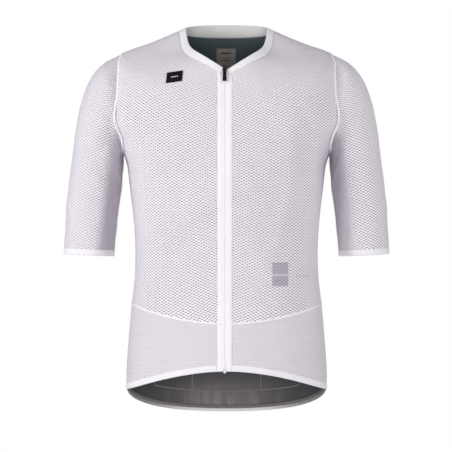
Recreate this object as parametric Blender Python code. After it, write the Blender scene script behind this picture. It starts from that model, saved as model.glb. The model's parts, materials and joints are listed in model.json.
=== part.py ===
"""A men's race-fit cycling jersey, filled out as it is worn, with nobody in it.

Metres, +Z up. -Y is the jersey's front and +X the wearer's left. The origin is the middle of the neck
opening, level with the points where the shoulder seams meet the collar. Every cloth piece is a closed
wall on one shared surface, and what is sewn on a panel is made from that panel's own points.
"""

import math
from collections import namedtuple

import bmesh
import bpy
from mathutils import Matrix, Vector
from mathutils.bvhtree import BVHTree

CLOTH = 0.0012          # wall of the knitted panels with their seam allowances
BAND = 0.0014           # folded bands at the hem, cuffs and neck
SEAM_GAP = 0.0003       # between two pieces that are sewn together
OVERLAY = 0.0010        # pockets, label, patch and neck facing

ZIP_X = -0.0032         # the zip lies a little to the wearer's right of the middle
TAPE_EDGE = 0.01265     # outer edge of each zip tape, from the zip's middle
TAPE_INNER = 0.0026     # inner edge of each tape, and of each collar end
CHAIN_HALF = 0.0022     # half the width of the closed coil

ARM_MIDDLE = -0.127     # height of the armhole's middle
ARM_RISE = 0.088        # from there up to the shoulder point, and down to the underarm
ARM_FRONT = 0.061       # reach of the armhole seam in front of the shoulder line
ARM_BACK = 0.064        # and behind it
SLEEVE_POWER = 2.15     # above 2 squares the sleeve's section a little
RISE_POWER = 1.9        # shape of the hem's and waist seam's curve across the front
DROP_POWER = 0.85       # shape of the dropped tail across the back
NECK_FULL = 0.68        # at 1 the neckline is a round scoop, at 0 a straight V
NECK_ROUND = 0.12       # keeps the neckline's curve from starting with a kink at the shoulder

FRONT_COLUMNS = 10      # facets across one front
TAIL_COLUMNS = (4, 3, 3)  # facets from side seam to outer pocket seam, to pocket divider, to the middle
TAIL_SHARES = (0.494, 0.803, 1.0)  # where those lines lie, as shares of the half back
POCKET_ROWS = 4         # rows of facets up the pockets
BODY_ROWS = 8           # from the waist seam to the underarm
ARM_ROWS = 9            # up each edge of the armhole
SHOULDER_ROWS = 3       # from the shoulder point to the neck seam

SLIDER_TILT = math.radians(20)  # the slider's face leans back with the neckline
SLIDER_GAP = 0.0012     # from the middle of the neckline's fold to the slider's face plate
SLIDER_PLATE = 0.0016   # thickness of the face plate
BACK_PLATE = 0.0010     # and of the plate behind the cloth
SLIDER_HALF = 0.0034    # half the plates' width
SLIDER_FOOT = -0.0043   # below and above the pull's axis
SLIDER_HEAD = 0.0068
POST_HALF = 0.0017      # the post joins the plates over the chain's end
POST_DEEP = 0.0015
ARCH_HALF = 0.0008      # the arch stands over the pull's crossbar
ARCH_SPAN = 0.0024      # from the axis to the inner faces of its feet
ARCH_THICK = 0.0008
PULL_AXIS = 0.0011      # from the face plate to the pull's axis, and half the arch's clear height
PULL_LENGTH = 0.0185
PULL_HALF = 0.0037      # half the pull's width at its foot
PULL_TAPER = 0.10       # how much narrower it is at its top
PULL_BAR = 0.0007       # half its thickness, and half its crossbar's
SLOT_HALF = 0.0016      # the slot that clears the arch
SLOT_FOOT = 0.0046
STOP_HALF = 0.0026      # the retainer at the foot of the zip
STOP_DEEP = 0.0018
STOP_TALL = 0.0024

Section = namedtuple("Section", "height width front back power rise drop neck")

# A section is level at the side seams: its height there, half its width, its reach to the front and back,
# the power of its oval, how far the middle of the front rises, how far the middle of the back drops, and
# how far the front sinks below the shoulder line to follow the neckline.
SECTIONS = (
    #        height   width   front   back    power  rise     drop    neck
    Section(-0.6245, 0.1752, 0.1170, 0.1220, 2.32, 0.0385, 0.0540, 0.000),  # hem edge
    Section(-0.6130, 0.1750, 0.1168, 0.1205, 2.32, 0.0380, 0.0540, 0.000),  # hem seam
    Section(-0.5900, 0.1747, 0.1160, 0.1175, 2.32, 0.0290, 0.0500, 0.000),  # foot of the pockets
    Section(-0.5550, 0.1724, 0.1140, 0.1100, 2.32, 0.0060, 0.0370, 0.000),
    Section(-0.5150, 0.1692, 0.1115, 0.1020, 2.32, -0.0180, 0.0210, 0.000),
    Section(-0.4755, 0.1655, 0.1100, 0.0955, 2.32, -0.0310, 0.0080, 0.000),  # waist seam
    Section(-0.4350, 0.1606, 0.1100, 0.0930, 2.32, -0.0150, 0.0030, 0.000),
    Section(-0.4000, 0.1587, 0.1108, 0.0930, 2.32, -0.0050, 0.0010, 0.000),  # waist
    Section(-0.3600, 0.1593, 0.1150, 0.0965, 2.32, 0.0000, 0.0000, 0.000),
    Section(-0.3100, 0.1637, 0.1205, 0.1065, 2.34, 0.0000, 0.0000, 0.000),  # ribs
    Section(-0.2700, 0.1687, 0.1245, 0.1130, 2.36, 0.0000, 0.0000, 0.000),
    Section(-0.2360, 0.1728, 0.1258, 0.1168, 2.38, 0.0000, 0.0000, 0.001),  # chest
    Section(-0.2150, 0.1795, 0.1248, 0.1170, 2.40, 0.0000, 0.0010, 0.005),  # underarm
    Section(-0.1900, 0.1870, 0.1232, 0.1160, 2.40, 0.0000, 0.0030, 0.012),
    Section(-0.1550, 0.2070, 0.1205, 0.1135, 2.40, 0.0000, 0.0070, 0.030),
    Section(-0.1270, 0.2107, 0.1182, 0.1105, 2.40, 0.0000, 0.0120, 0.045),
    Section(-0.1000, 0.2050, 0.1165, 0.1060, 2.40, 0.0000, 0.0180, 0.060),
    Section(-0.0630, 0.1945, 0.1130, 0.1000, 2.38, 0.0000, 0.0250, 0.078),
    Section(-0.0390, 0.1810, 0.1080, 0.0950, 2.36, 0.0000, 0.0310, 0.086),  # shoulder point
    Section(-0.0200, 0.1300, 0.1020, 0.0800, 2.34, 0.0000, 0.0110, 0.086),
    Section(0.0000, 0.0830, 0.0950, 0.0620, 2.34, 0.0000, 0.0050, 0.086),  # neck seam
)
HEM, HEM_SEAM, POCKET_FOOT = SECTIONS[0], SECTIONS[1], SECTIONS[2]
WAIST_SEAM = SECTIONS[5]
NECK_SEAM = SECTIONS[-1]
COLLAR_TOP = Section(0.0098, 0.0710, 0.0915, 0.0565, 2.40, 0.0000, -0.0070, 0.0855)

SleeveRing = namedtuple("SleeveRing", "outer_x outer_z inner_x inner_z depth")
SLEEVE_RINGS = (
    #           outer_x  outer_z  inner_x  inner_z  depth
    SleeveRing(0.2140, -0.0570, 0.1803, -0.2200, 0.0630),
    SleeveRing(0.2380, -0.0850, 0.1806, -0.2280, 0.0620),
    SleeveRing(0.2532, -0.1230, 0.1812, -0.2370, 0.0600),
    SleeveRing(0.2625, -0.1650, 0.1822, -0.2500, 0.0580),
    SleeveRing(0.2698, -0.2150, 0.1842, -0.2720, 0.0560),
    SleeveRing(0.2762, -0.2700, 0.1880, -0.3050, 0.0540),
    SleeveRing(0.2808, -0.3300, 0.1925, -0.3450, 0.0520),
    SleeveRing(0.2840, -0.3785, 0.1960, -0.3830, 0.0510),  # cuff seam
    SleeveRing(0.2845, -0.3895, 0.1965, -0.3940, 0.0510),  # cuff edge
)

Fold = namedtuple("Fold", "side x z tilt length width depth")
# The broad soft swells and troughs: the side of the jersey they are on, their middle, their lean from
# level in degrees, their half length and half width, and how far they stand out.
FOLDS = (
    #     side   x       z      tilt  length  width   depth
    Fold(-1, -0.092, -0.222, 12, 0.060, 0.024, 0.0030),   # under the right chest
    Fold(-1, -0.105, -0.262, 20, 0.070, 0.020, -0.0025),
    Fold(-1, -0.060, -0.325, 38, 0.075, 0.022, 0.0028),   # across the belly
    Fold(-1, -0.098, -0.385, 30, 0.065, 0.024, -0.0028),
    Fold(-1, 0.100, -0.225, -14, 0.060, 0.024, 0.0024),   # under the left chest
    Fold(-1, 0.118, -0.290, -62, 0.080, 0.018, -0.0030),
    Fold(-1, 0.060, -0.400, -25, 0.070, 0.026, 0.0020),
    Fold(1, 0.000, -0.240, 90, 0.120, 0.022, -0.0040),    # down the spine
    Fold(1, 0.085, -0.130, -35, 0.060, 0.024, 0.0030),    # over the shoulder blades
    Fold(1, -0.085, -0.130, 35, 0.060, 0.024, 0.0030),
    Fold(1, 0.070, -0.345, -12, 0.075, 0.020, -0.0028),   # above the pockets
    Fold(1, -0.065, -0.385, 10, 0.070, 0.022, -0.0024),
)

Flat = namedtuple("Flat", "x z half_width half_height rise lean")
# Small rectangles seen from the front: their middle, half sizes, how much their level edges climb for
# each metre across, and how much their upright edges lean for each metre up.
PATCH = Flat(-0.0884, -0.0880, 0.0137, 0.0093, 0.13, 0.08)
LABEL = Flat(-0.0010, -0.0440, 0.0175, 0.0220, 0.00, 0.00)

COLOURS = {
    # name: (red, green, blue, roughness, metallic)
    "mesh_knit": (0.79, 0.76, 0.80, 0.85, 0.0),
    "rib_knit": (0.76, 0.73, 0.77, 0.85, 0.0),
    "back_knit": (0.80, 0.77, 0.81, 0.85, 0.0),
    "band": (0.90, 0.87, 0.90, 0.80, 0.0),
    "facing": (0.44, 0.44, 0.43, 0.85, 0.0),
    "label": (0.30, 0.28, 0.26, 0.70, 0.0),
    "tape": (0.90, 0.88, 0.91, 0.75, 0.0),
    "coil": (0.86, 0.84, 0.87, 0.50, 0.0),
    "black_metal": (0.012, 0.012, 0.014, 0.35, 0.6),
    "patch": (0.008, 0.006, 0.007, 0.60, 0.0),
}


def clear_scene():
    for thing in list(bpy.data.objects):
        bpy.data.objects.remove(thing, do_unlink=True)


def material(name):
    red, green, blue, roughness, metallic = COLOURS[name]
    made = bpy.data.materials.get(name) or bpy.data.materials.new(name)
    made.use_nodes = True
    shader = made.node_tree.nodes["Principled BSDF"]
    shader.inputs["Base Color"].default_value = (red, green, blue, 1.0)
    shader.inputs["Roughness"].default_value = roughness
    shader.inputs["Metallic"].default_value = metallic
    made.diffuse_color = (red, green, blue, 1.0)
    return made


def place(name, bm, material_name, sharp_degrees=35):
    """One named object from the mesh: faces turned out, shaded smooth with sharp rims."""
    bmesh.ops.recalc_face_normals(bm, faces=bm.faces)
    mesh = bpy.data.meshes.new(name)
    bm.to_mesh(mesh)
    bm.free()
    mesh.materials.append(material(material_name))
    mesh.shade_smooth()
    mesh.set_sharp_from_angle(angle=math.radians(sharp_degrees))
    made = bpy.data.objects.new(name, mesh)
    bpy.context.scene.collection.objects.link(made)
    return made


# The surface that the torso's panels share.

def slope(knots, index):
    """Slope of a smooth curve through (height, section) knots, column by column."""
    low = max(index - 1, 0)
    high = min(index + 1, len(knots) - 1)
    span = knots[high].height - knots[low].height
    return [(b - a) / span for a, b in zip(knots[low], knots[high])]


def section_at(height):
    """The section at any height, on a smooth curve through the table's rows."""
    index = max(i for i, row in enumerate(SECTIONS[:-1]) if row.height <= height + 1e-9)
    low, high = SECTIONS[index], SECTIONS[index + 1]
    span = high.height - low.height
    t = (height - low.height) / span
    from_low = 2 * t**3 - 3 * t**2 + 1
    from_high = 1 - from_low
    leaving = (t**3 - 2 * t**2 + t) * span
    arriving = (t**3 - t**2) * span
    columns = zip(low, high, slope(SECTIONS, index), slope(SECTIONS, index + 1))
    return Section(*(a * from_low + b * from_high + m * leaving + n * arriving for a, b, m, n in columns))


def mixed(first, second, share):
    return Section(*(a + (b - a) * share for a, b in zip(first, second)))


def signed_power(value, power):
    return math.copysign(abs(value) ** power, value)


def neck_curve(sine, across):
    """Share of the neckline's depth at this turn of the section: none at the shoulder, all at the middle."""
    def lifted(value):
        return (value**2 + NECK_ROUND**2) ** 0.35
    rounded = (lifted(sine) - lifted(0)) / (lifted(1) - lifted(0))
    return NECK_FULL * rounded + (1 - NECK_FULL) * (1 - across)


def fold_height(side, x, z):
    total = 0.0
    for fold in FOLDS:
        if fold.side != side:
            continue
        lean = math.radians(fold.tilt)
        along = (x - fold.x) * math.cos(lean) + (z - fold.z) * math.sin(lean)
        across = (z - fold.z) * math.cos(lean) - (x - fold.x) * math.sin(lean)
        total += fold.depth * math.exp(-((along / fold.length) ** 2) - (across / fold.width) ** 2)
    return total


def surface_point(section, angle):
    """Angle 0 is the wearer's left side seam, a quarter turn the middle of the front."""
    x = section.width * signed_power(math.cos(angle), 2 / section.power)
    across = abs(x) / section.width
    sine = math.sin(angle)
    reach = abs(sine) ** (2 / section.power)
    if sine >= 0:
        z = section.height + section.rise * (1 - across**RISE_POWER)
        z -= section.neck * neck_curve(sine, across)
        depth = section.front * reach + fold_height(-1, x, z) * reach
        return Vector((x, -depth, z))
    z = section.height - section.drop * abs(sine) ** DROP_POWER
    depth = section.back * reach + fold_height(1, x, z) * reach
    return Vector((x, depth, z))


def angle_at(section, x):
    """The turn at which the front of a section reaches this x."""
    return math.acos(signed_power(x / section.width, section.power / 2))


def arm_turn(section, reach):
    """How far the armhole's edge lies from the shoulder line, as a turn of the section."""
    if section.height > ARM_MIDDLE + ARM_RISE - 1e-6 or section.height < ARM_MIDDLE - ARM_RISE + 1e-6:
        return 0.0
    level = (section.height - ARM_MIDDLE) / ARM_RISE
    edge = reach * math.sqrt(1 - level**2)
    depth = section.front if reach == ARM_FRONT else section.back
    return math.asin((edge / depth) ** (section.power / 2))


def spread(start, end, count):
    return [start + (end - start) * i / count for i in range(count + 1)]


def heights_between(low, high, count):
    return spread(low, high, count)[1:]


def turns_across(start, end, shares):
    """Column turns from an armhole or side seam to the middle, giving way mostly beside the armhole."""
    return [end * share + start * (1 - share) ** 2 for share in shares]


def torso_heights():
    """Heights of the shared rows, from the hem's edge to the neck seam."""
    heights = [HEM.height, HEM_SEAM.height, POCKET_FOOT.height]
    heights += heights_between(POCKET_FOOT.height, WAIST_SEAM.height, POCKET_ROWS)
    underarm = ARM_MIDDLE - ARM_RISE
    tip = ARM_MIDDLE + ARM_RISE
    heights += heights_between(WAIST_SEAM.height, underarm, BODY_ROWS)
    turns = spread(math.pi, 0, ARM_ROWS)[1:]
    heights += [ARM_MIDDLE + ARM_RISE * math.cos(turn) for turn in turns]
    heights += heights_between(tip, NECK_SEAM.height, SHOULDER_ROWS)
    return heights


def left_front_row(section):
    end = angle_at(section, ZIP_X + TAPE_EDGE)
    turns = turns_across(arm_turn(section, ARM_FRONT), end, spread(0, 1, FRONT_COLUMNS))
    return [surface_point(section, turn) for turn in turns]


def right_front_row(section):
    end = math.pi - angle_at(section, ZIP_X - TAPE_EDGE)
    turns = turns_across(arm_turn(section, ARM_FRONT), end, spread(0, 1, FRONT_COLUMNS))
    return [surface_point(section, math.pi - turn) for turn in reversed(turns)]


def back_shares():
    """Column lines across the half back, so that lines of the mesh fall on the pocket seams."""
    shares = [0.0]
    for count, share in zip(TAIL_COLUMNS, TAIL_SHARES):
        shares += heights_between(shares[-1], share, count)
    return shares


def back_row(section):
    half = turns_across(arm_turn(section, ARM_BACK), math.pi / 2, back_shares())
    turns = half + [math.pi - turn for turn in reversed(half[:-1])]
    return [surface_point(section, math.pi + turn) for turn in turns]


def tape_row(section, first, second):
    angles = [angle_at(section, ZIP_X + first), angle_at(section, ZIP_X + second)]
    return [surface_point(section, angle) for angle in angles]


def collar_row(section):
    """Right collar end, round the back of the neck, to the left collar end."""
    right = right_front_row(section)
    left = left_front_row(section)
    first = surface_point(section, angle_at(section, ZIP_X - TAPE_INNER))
    last = surface_point(section, angle_at(section, ZIP_X + TAPE_INNER))
    return [first] + right + back_row(section)[1:-1] + left + [last]


def sleeve_ring(ring):
    """Round a sleeve's section: from its outer line over the back, along the inner line, to the front."""
    centre = Vector(((ring.outer_x + ring.inner_x) / 2, 0, (ring.outer_z + ring.inner_z) / 2))
    reach = Vector((ring.outer_x, 0, ring.outer_z)) - centre
    points = []
    for turn in spread(0, 2 * math.pi, 2 * ARM_ROWS)[:-1]:
        out = reach * signed_power(math.cos(turn), 2 / SLEEVE_POWER)
        side = signed_power(math.sin(turn), 2 / SLEEVE_POWER) * ring.depth
        points.append(centre + out + Vector((0, side, 0)))
    return points


def armhole_ring(left_rows, back_rows):
    """The armhole seam in the sleeve's own order: down its back edge, then up its front edge."""
    down_the_back = [row[-1] for row in reversed(back_rows)]
    up_the_front = [row[0] for row in left_rows]
    return down_the_back + up_the_front[1:-1]


def mirrored(grid):
    """The other side's grid, with its columns turned round so that it still faces out."""
    return [[Vector((-p.x, p.y, p.z)) for p in reversed(row)] for row in grid]


# Walls: a grid of points, the outward normal at each, and a thickness inwards.

Normals = namedtuple("Normals", "own shared")


def key_of(point):
    return tuple(round(value, 5) for value in point)


def cell_normals(grid, closed):
    """Yields each cell's outward normal with its corners, for rows that run up and columns that turn."""
    columns = len(grid[0])
    for i in range(len(grid) - 1):
        for j in range(columns if closed else columns - 1):
            k = (j + 1) % columns
            corners = (grid[i][j], grid[i][k], grid[i + 1][k], grid[i + 1][j])
            normal = (corners[2] - corners[0]).cross(corners[1] - corners[3])
            yield normal.normalized(), corners


def gather_normals(groups):
    """Adds up the normals round each point, within each group of pieces and over all of them."""
    shared = {}
    own = {}
    for group, grids in groups.items():
        for grid, closed in grids:
            for normal, corners in cell_normals(grid, closed):
                for corner in corners:
                    key = key_of(corner)
                    shared.setdefault(key, []).append(normal)
                    own.setdefault((group, key), []).append(normal)
    return Normals(own, shared)


def normal_at(normals, group, point):
    """The mean outward normal, lengthened at a bend so that the wall keeps its thickness there.

    Pieces meet along the mean of both, but at the sharp fold of the underarm each keeps its own.
    """
    key = key_of(point)
    for around in (normals.shared[key], normals.own[(group, key)]):
        total = sum(around, Vector())
        evenness = total.length / len(around)
        if evenness > 0.8:
            break
    return total.normalized() / max(evenness, 0.6)


def inset_grid(grid, closed):
    """Pulls the open borders in by half a seam gap."""
    rows, columns = len(grid), len(grid[0])
    moved = [[point.copy() for point in row] for row in grid]
    half = SEAM_GAP / 2
    for j in range(columns):
        moved[0][j] += (grid[1][j] - grid[0][j]).normalized() * half
        moved[-1][j] += (grid[-2][j] - grid[-1][j]).normalized() * half
    if not closed:
        for i in range(rows):
            moved[i][0] += (grid[i][1] - grid[i][0]).normalized() * half
            moved[i][-1] += (grid[i][-2] - grid[i][-1]).normalized() * half
    return moved


def closed_wall(outer, inner, closed):
    """A closed mesh from two matching grids: both skins, and a rim along each open border."""
    bm = bmesh.new()
    columns = len(outer[0])
    skins = [[[bm.verts.new(point) for point in row] for row in grid] for grid in (outer, inner)]
    steps = [(j, (j + 1) % columns) for j in range(columns if closed else columns - 1)]
    for i in range(len(outer) - 1):
        for j, k in steps:
            for skin in skins:
                bm.faces.new((skin[i][j], skin[i][k], skin[i + 1][k], skin[i + 1][j]))
    for i in (0, -1):
        for j, k in steps:
            bm.faces.new((skins[0][i][j], skins[0][i][k], skins[1][i][k], skins[1][i][j]))
    if not closed:
        for j in (0, -1):
            for i in range(len(outer) - 1):
                bm.faces.new((skins[0][i][j], skins[0][i + 1][j], skins[1][i + 1][j], skins[1][i][j]))
    return bm


def cloth(name, material_name, grid, normals, group, thickness, lift=0.0, closed=False):
    """A wall whose outer skin lies on the grid, moved out by lift."""
    around = [[normal_at(normals, group, point) for point in row] for row in grid]
    moved = inset_grid(grid, closed)
    cells = [list(zip(points, outward)) for points, outward in zip(moved, around)]
    outer = [[p + n * lift for p, n in row] for row in cells]
    inner = [[p + n * (lift - thickness) for p, n in row] for row in cells]
    return place(name, closed_wall(outer, inner, closed), material_name)


def flat_points(flat, columns=6, rows=4):
    return [
        [(flat.x + u + v * flat.lean, flat.z + v + u * flat.rise)
         for u in spread(-flat.half_width, flat.half_width, columns)]
        for v in spread(-flat.half_height, flat.half_height, rows)
    ]


def laid_on(name, material_name, target, start_y, flat):
    """A thin piece laid on a panel: each point is cast along +Y onto the panel and lifted clear of it."""
    bm = bmesh.new()
    bm.from_mesh(target.data)
    bmesh.ops.triangulate(bm, faces=bm.faces)
    tree = BVHTree.FromBMesh(bm)
    bm.free()
    near, far = [], []
    for row in flat_points(flat):
        hits = [tree.ray_cast(Vector((x, start_y, z)), Vector((0, 1, 0)))[:2] for x, z in row]
        near.append([point + normal * SEAM_GAP for point, normal in hits])
        far.append([point + normal * (SEAM_GAP + OVERLAY) for point, normal in hits])
    return place(name, closed_wall(far, near, False), material_name)


# Hard pieces, as blocks that share their faces.

def blocks(x_cuts, y_cuts, z_cuts, filled):
    """One closed body from the cells of a grid of cuts that filled(i, j, k) picks."""
    counts = [len(cuts) - 1 for cuts in (x_cuts, y_cuts, z_cuts)]
    cells = {
        (i, j, k)
        for i in range(counts[0]) for j in range(counts[1]) for k in range(counts[2])
        if filled(i, j, k)
    }
    bm = bmesh.new()
    corners = {}
    for cell in sorted(cells):
        for axis in range(3):
            for side in (0, 1):
                beside = list(cell)
                beside[axis] += 2 * side - 1
                if tuple(beside) in cells:
                    continue
                face = []
                for u, v in ((0, 0), (1, 0), (1, 1), (0, 1)):
                    corner = list(cell)
                    corner[axis] += side
                    corner[(axis + 1) % 3] += u
                    corner[(axis + 2) % 3] += v
                    spot = tuple(corner)
                    if spot not in corners:
                        place_at = (x_cuts[spot[0]], y_cuts[spot[1]], z_cuts[spot[2]])
                        corners[spot] = bm.verts.new(place_at)
                    face.append(corners[spot])
                bm.faces.new(face)
    return bm


def mirrored_cuts(*halves):
    return [-value for value in halves] + list(reversed(halves))


def slider_frame():
    """The slider's frame: +Z up along the tape, -Y out of the jersey, origin on the cloth's face."""
    middle = surface_point(mixed(NECK_SEAM, COLLAR_TOP, 0.5), angle_at(COLLAR_TOP, ZIP_X))
    lean = Matrix.Rotation(-SLIDER_TILT, 4, "X")
    return Matrix.Translation(middle) @ lean


def build_slider(frame):
    """Face plate with an arch for the pull, and a back plate, joined by a post over the chain's end."""
    face = -SLIDER_GAP - SLIDER_PLATE
    behind = BAND + 2 * SEAM_GAP
    arch_end = ARCH_SPAN + ARCH_THICK
    x_cuts = mirrored_cuts(SLIDER_HALF, POST_HALF, ARCH_HALF)
    y_cuts = [face - 2 * PULL_AXIS - ARCH_THICK, face - 2 * PULL_AXIS, face, -SLIDER_GAP]
    y_cuts += [behind, behind + BACK_PLATE]
    z_cuts = [SLIDER_FOOT, -arch_end, -ARCH_SPAN, ARCH_SPAN, arch_end, SLIDER_HEAD - POST_DEEP, SLIDER_HEAD]

    def filled(i, j, k):
        plate = j in (2, 4)
        post = j == 3 and k == 5 and 1 <= i <= 3
        arch = i == 2 and j < 2 and (k in (1, 3) or (j == 0 and k == 2))
        return plate or post or arch

    bm = blocks(x_cuts, y_cuts, z_cuts, filled)
    bmesh.ops.transform(bm, matrix=frame, verts=bm.verts)
    return place("zip_slider", bm, "black_metal", 30)


def build_pull(frame):
    """A flat tab with a slot at its top, whose crossbar runs under the slider's arch."""
    x_cuts = mirrored_cuts(PULL_HALF, SLOT_HALF)
    z_cuts = [-PULL_LENGTH, -SLOT_FOOT, -PULL_BAR, PULL_BAR]
    bm = blocks(x_cuts, [-PULL_BAR, PULL_BAR], z_cuts, lambda i, j, k: i != 1 or k != 1)
    for vert in bm.verts:
        vert.co.x *= 1 - PULL_TAPER * (1 + vert.co.z / PULL_LENGTH)
    pull = place("zip_pull", bm, "black_metal", 30)
    pull.matrix_world = frame @ Matrix.Translation((0, -SLIDER_GAP - SLIDER_PLATE - PULL_AXIS, 0))
    return pull


def build_stop(foot):
    """The retainer at the foot of the zip, peeping out under the hem."""
    x_cuts = [foot.x - STOP_HALF, foot.x + STOP_HALF]
    z_cuts = [foot.z - SEAM_GAP - STOP_TALL, foot.z - SEAM_GAP]
    bm = blocks(x_cuts, [foot.y, foot.y + STOP_DEEP], z_cuts, lambda i, j, k: True)
    return place("zip_stop", bm, "coil", 30)


# The jersey, piece by piece.

def build_cloth():
    heights = torso_heights()
    sections = [section_at(height) for height in heights]
    seam, foot, waist = 1, 2, heights.index(WAIST_SEAM.height)
    underarm = waist + BODY_ROWS
    tip = underarm + ARM_ROWS

    left = [left_front_row(section) for section in sections]
    right = [right_front_row(section) for section in sections]
    back = [back_row(section) for section in sections]
    left_tape = [tape_row(section, TAPE_EDGE, TAPE_INNER) for section in sections]
    right_tape = [tape_row(section, -TAPE_INNER, -TAPE_EDGE) for section in sections]
    collar = [collar_row(mixed(NECK_SEAM, COLLAR_TOP, share)) for share in (0.0, 0.5, 1.0)]
    chain_sections = sections + [mixed(NECK_SEAM, COLLAR_TOP, share) for share in (0.35, 0.7)]
    chain = [tape_row(section, CHAIN_HALF, -CHAIN_HALF) for section in chain_sections]

    rings = [armhole_ring(left[underarm:tip + 1], back[underarm:tip + 1])]
    rings += [sleeve_ring(ring) for ring in SLEEVE_RINGS]
    other_rings = mirrored(rings)

    torso = [(left, False), (right, False), (back, False), (left_tape, False), (right_tape, False)]
    torso += [(collar, False), (chain, False)]
    normals = gather_normals({"torso": torso, "sleeves": [(rings, True), (other_rings, True)]})

    def panel(name, look, grid, first, last, thickness=CLOTH):
        return cloth(name, look, grid[first:last + 1], normals, "torso", thickness)

    top = len(heights) - 1
    panel("front_left", "mesh_knit", left, waist, top)
    front_right = panel("front_right", "mesh_knit", right, waist, top)
    panel("waist_left", "rib_knit", left, seam, waist)
    panel("waist_right", "rib_knit", right, seam, waist)
    panel("hem_left", "band", left, 0, seam, BAND)
    panel("hem_right", "band", right, 0, seam, BAND)
    panel("hem_back", "band", back, 0, seam, BAND)
    back_panel = panel("back", "back_knit", back, seam, top)
    panel("zip_tape_left", "tape", left_tape, 0, top)
    panel("zip_tape_right", "tape", right_tape, 0, top)
    panel("zip_chain", "coil", chain, 0, len(chain) - 1)
    panel("collar", "band", collar, 0, 2, BAND)

    inside = -BAND - SEAM_GAP
    behind = [row[FRONT_COLUMNS + 1:-FRONT_COLUMNS - 1] for row in collar]
    cloth("neck_facing", "facing", behind, normals, "torso", OVERLAY, inside)

    edges = [0]
    for count in TAIL_COLUMNS:
        edges.append(edges[-1] + count)
    middle = edges[3]
    spans = {
        "pocket_right": (edges[1], edges[2]),
        "pocket_centre": (edges[2], 2 * middle - edges[2]),
        "pocket_left": (2 * middle - edges[2], 2 * middle - edges[1]),
    }
    for name, (first, last) in spans.items():
        rows = [row[first:last + 1] for row in back[foot:waist + 1]]
        cloth(name, "back_knit", rows, normals, "torso", OVERLAY, SEAM_GAP + OVERLAY)

    for name, grid in (("left", rings), ("right", other_rings)):
        cloth(f"sleeve_{name}", "mesh_knit", grid[:-1], normals, "sleeves", CLOTH, closed=True)
        cloth(f"cuff_{name}", "band", grid[-2:], normals, "sleeves", BAND, closed=True)

    laid_on("chest_patch", "patch", front_right, -1.0, PATCH)
    laid_on("neck_label", "label", back_panel, 0.0, LABEL)


def build():
    clear_scene()
    build_cloth()
    frame = slider_frame()
    build_slider(frame)
    build_pull(frame)
    build_stop(surface_point(HEM, angle_at(HEM, ZIP_X)))


build()
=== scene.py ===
import json
import math

import bmesh
import bpy
import numpy as np
from mathutils import Matrix, Vector
from mathutils.bvhtree import BVHTree
from mathutils.geometry import barycentric_transform


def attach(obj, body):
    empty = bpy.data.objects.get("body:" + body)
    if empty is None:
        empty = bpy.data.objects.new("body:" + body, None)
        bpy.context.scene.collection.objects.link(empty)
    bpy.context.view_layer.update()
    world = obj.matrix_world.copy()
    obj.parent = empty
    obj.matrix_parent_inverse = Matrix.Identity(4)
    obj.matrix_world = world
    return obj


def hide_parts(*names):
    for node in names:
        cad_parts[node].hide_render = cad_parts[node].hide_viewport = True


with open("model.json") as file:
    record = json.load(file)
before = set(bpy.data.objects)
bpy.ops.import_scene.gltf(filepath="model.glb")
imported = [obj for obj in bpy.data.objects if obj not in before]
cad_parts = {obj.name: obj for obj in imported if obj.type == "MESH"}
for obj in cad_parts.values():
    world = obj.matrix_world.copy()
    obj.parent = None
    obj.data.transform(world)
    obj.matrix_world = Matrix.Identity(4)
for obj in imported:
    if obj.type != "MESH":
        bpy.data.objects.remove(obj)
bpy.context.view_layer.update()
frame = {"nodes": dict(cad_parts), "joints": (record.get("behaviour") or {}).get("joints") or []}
print("frame loaded:", len(frame["nodes"]), "nodes")

# The form: metres, +Z up, -Y the jersey's front, +X the wearer's left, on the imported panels' own surface.
form = {
    "zipX": -0.0032,        # the zip lies a little to the wearer's right
    "tapeEdge": 0.01265,    # outer edge of each zip tape, from the zip's middle
    "armMiddle": -0.127,    # height of the armhole's middle
    "armRise": 0.088,       # from there to the shoulder point and to the underarm
    "armFront": 0.061,      # reach of the armhole seam to the front
    "armBack": 0.064,       # and to the back
    "sleevePower": 2.15,    # squareness of the sleeve's rings
    "innerFlat": 0.50,      # how flat the sleeve's inner side is at the cuff
    "risePower": 1.9,       # shape of the hem's and waist seam's curve across the front
    "dropPower": 0.85,      # shape of the dropped tail
    "neckFull": 0.68,       # the neckline's shape low down: 1 is a round scoop, 0 a straight V
    "neckRound": 0.12,      # how softly that scoop leaves the sides
    "collarFull": 0.477,    # the neckline's shape at the neck seam
    "collarTopFull": 0.44,  # and at the collar's inner edge
    "collarCorner": 0.34,   # how soon it turns in from the side of the neck
    "lowNeck": 0.135,       # half width of the section where the low shape begins to change
    "lowNeckFade": 0.05,    # and how much narrower it is where the collar's shape has taken over
    "neckHalf": 0.083,      # half width at the neck seam
    "collarFade": 0.012,    # and how much narrower the collar's inner edge is
    "collarEnd": 0.0026,    # from the zip's middle to each end of the collar
}
hemEdge, hemSeam, pocketFoot, waistSeam = -0.6245, -0.6130, -0.5900, -0.4755
underarm = form["armMiddle"] - form["armRise"]
shoulderPoint = form["armMiddle"] + form["armRise"]

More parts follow.
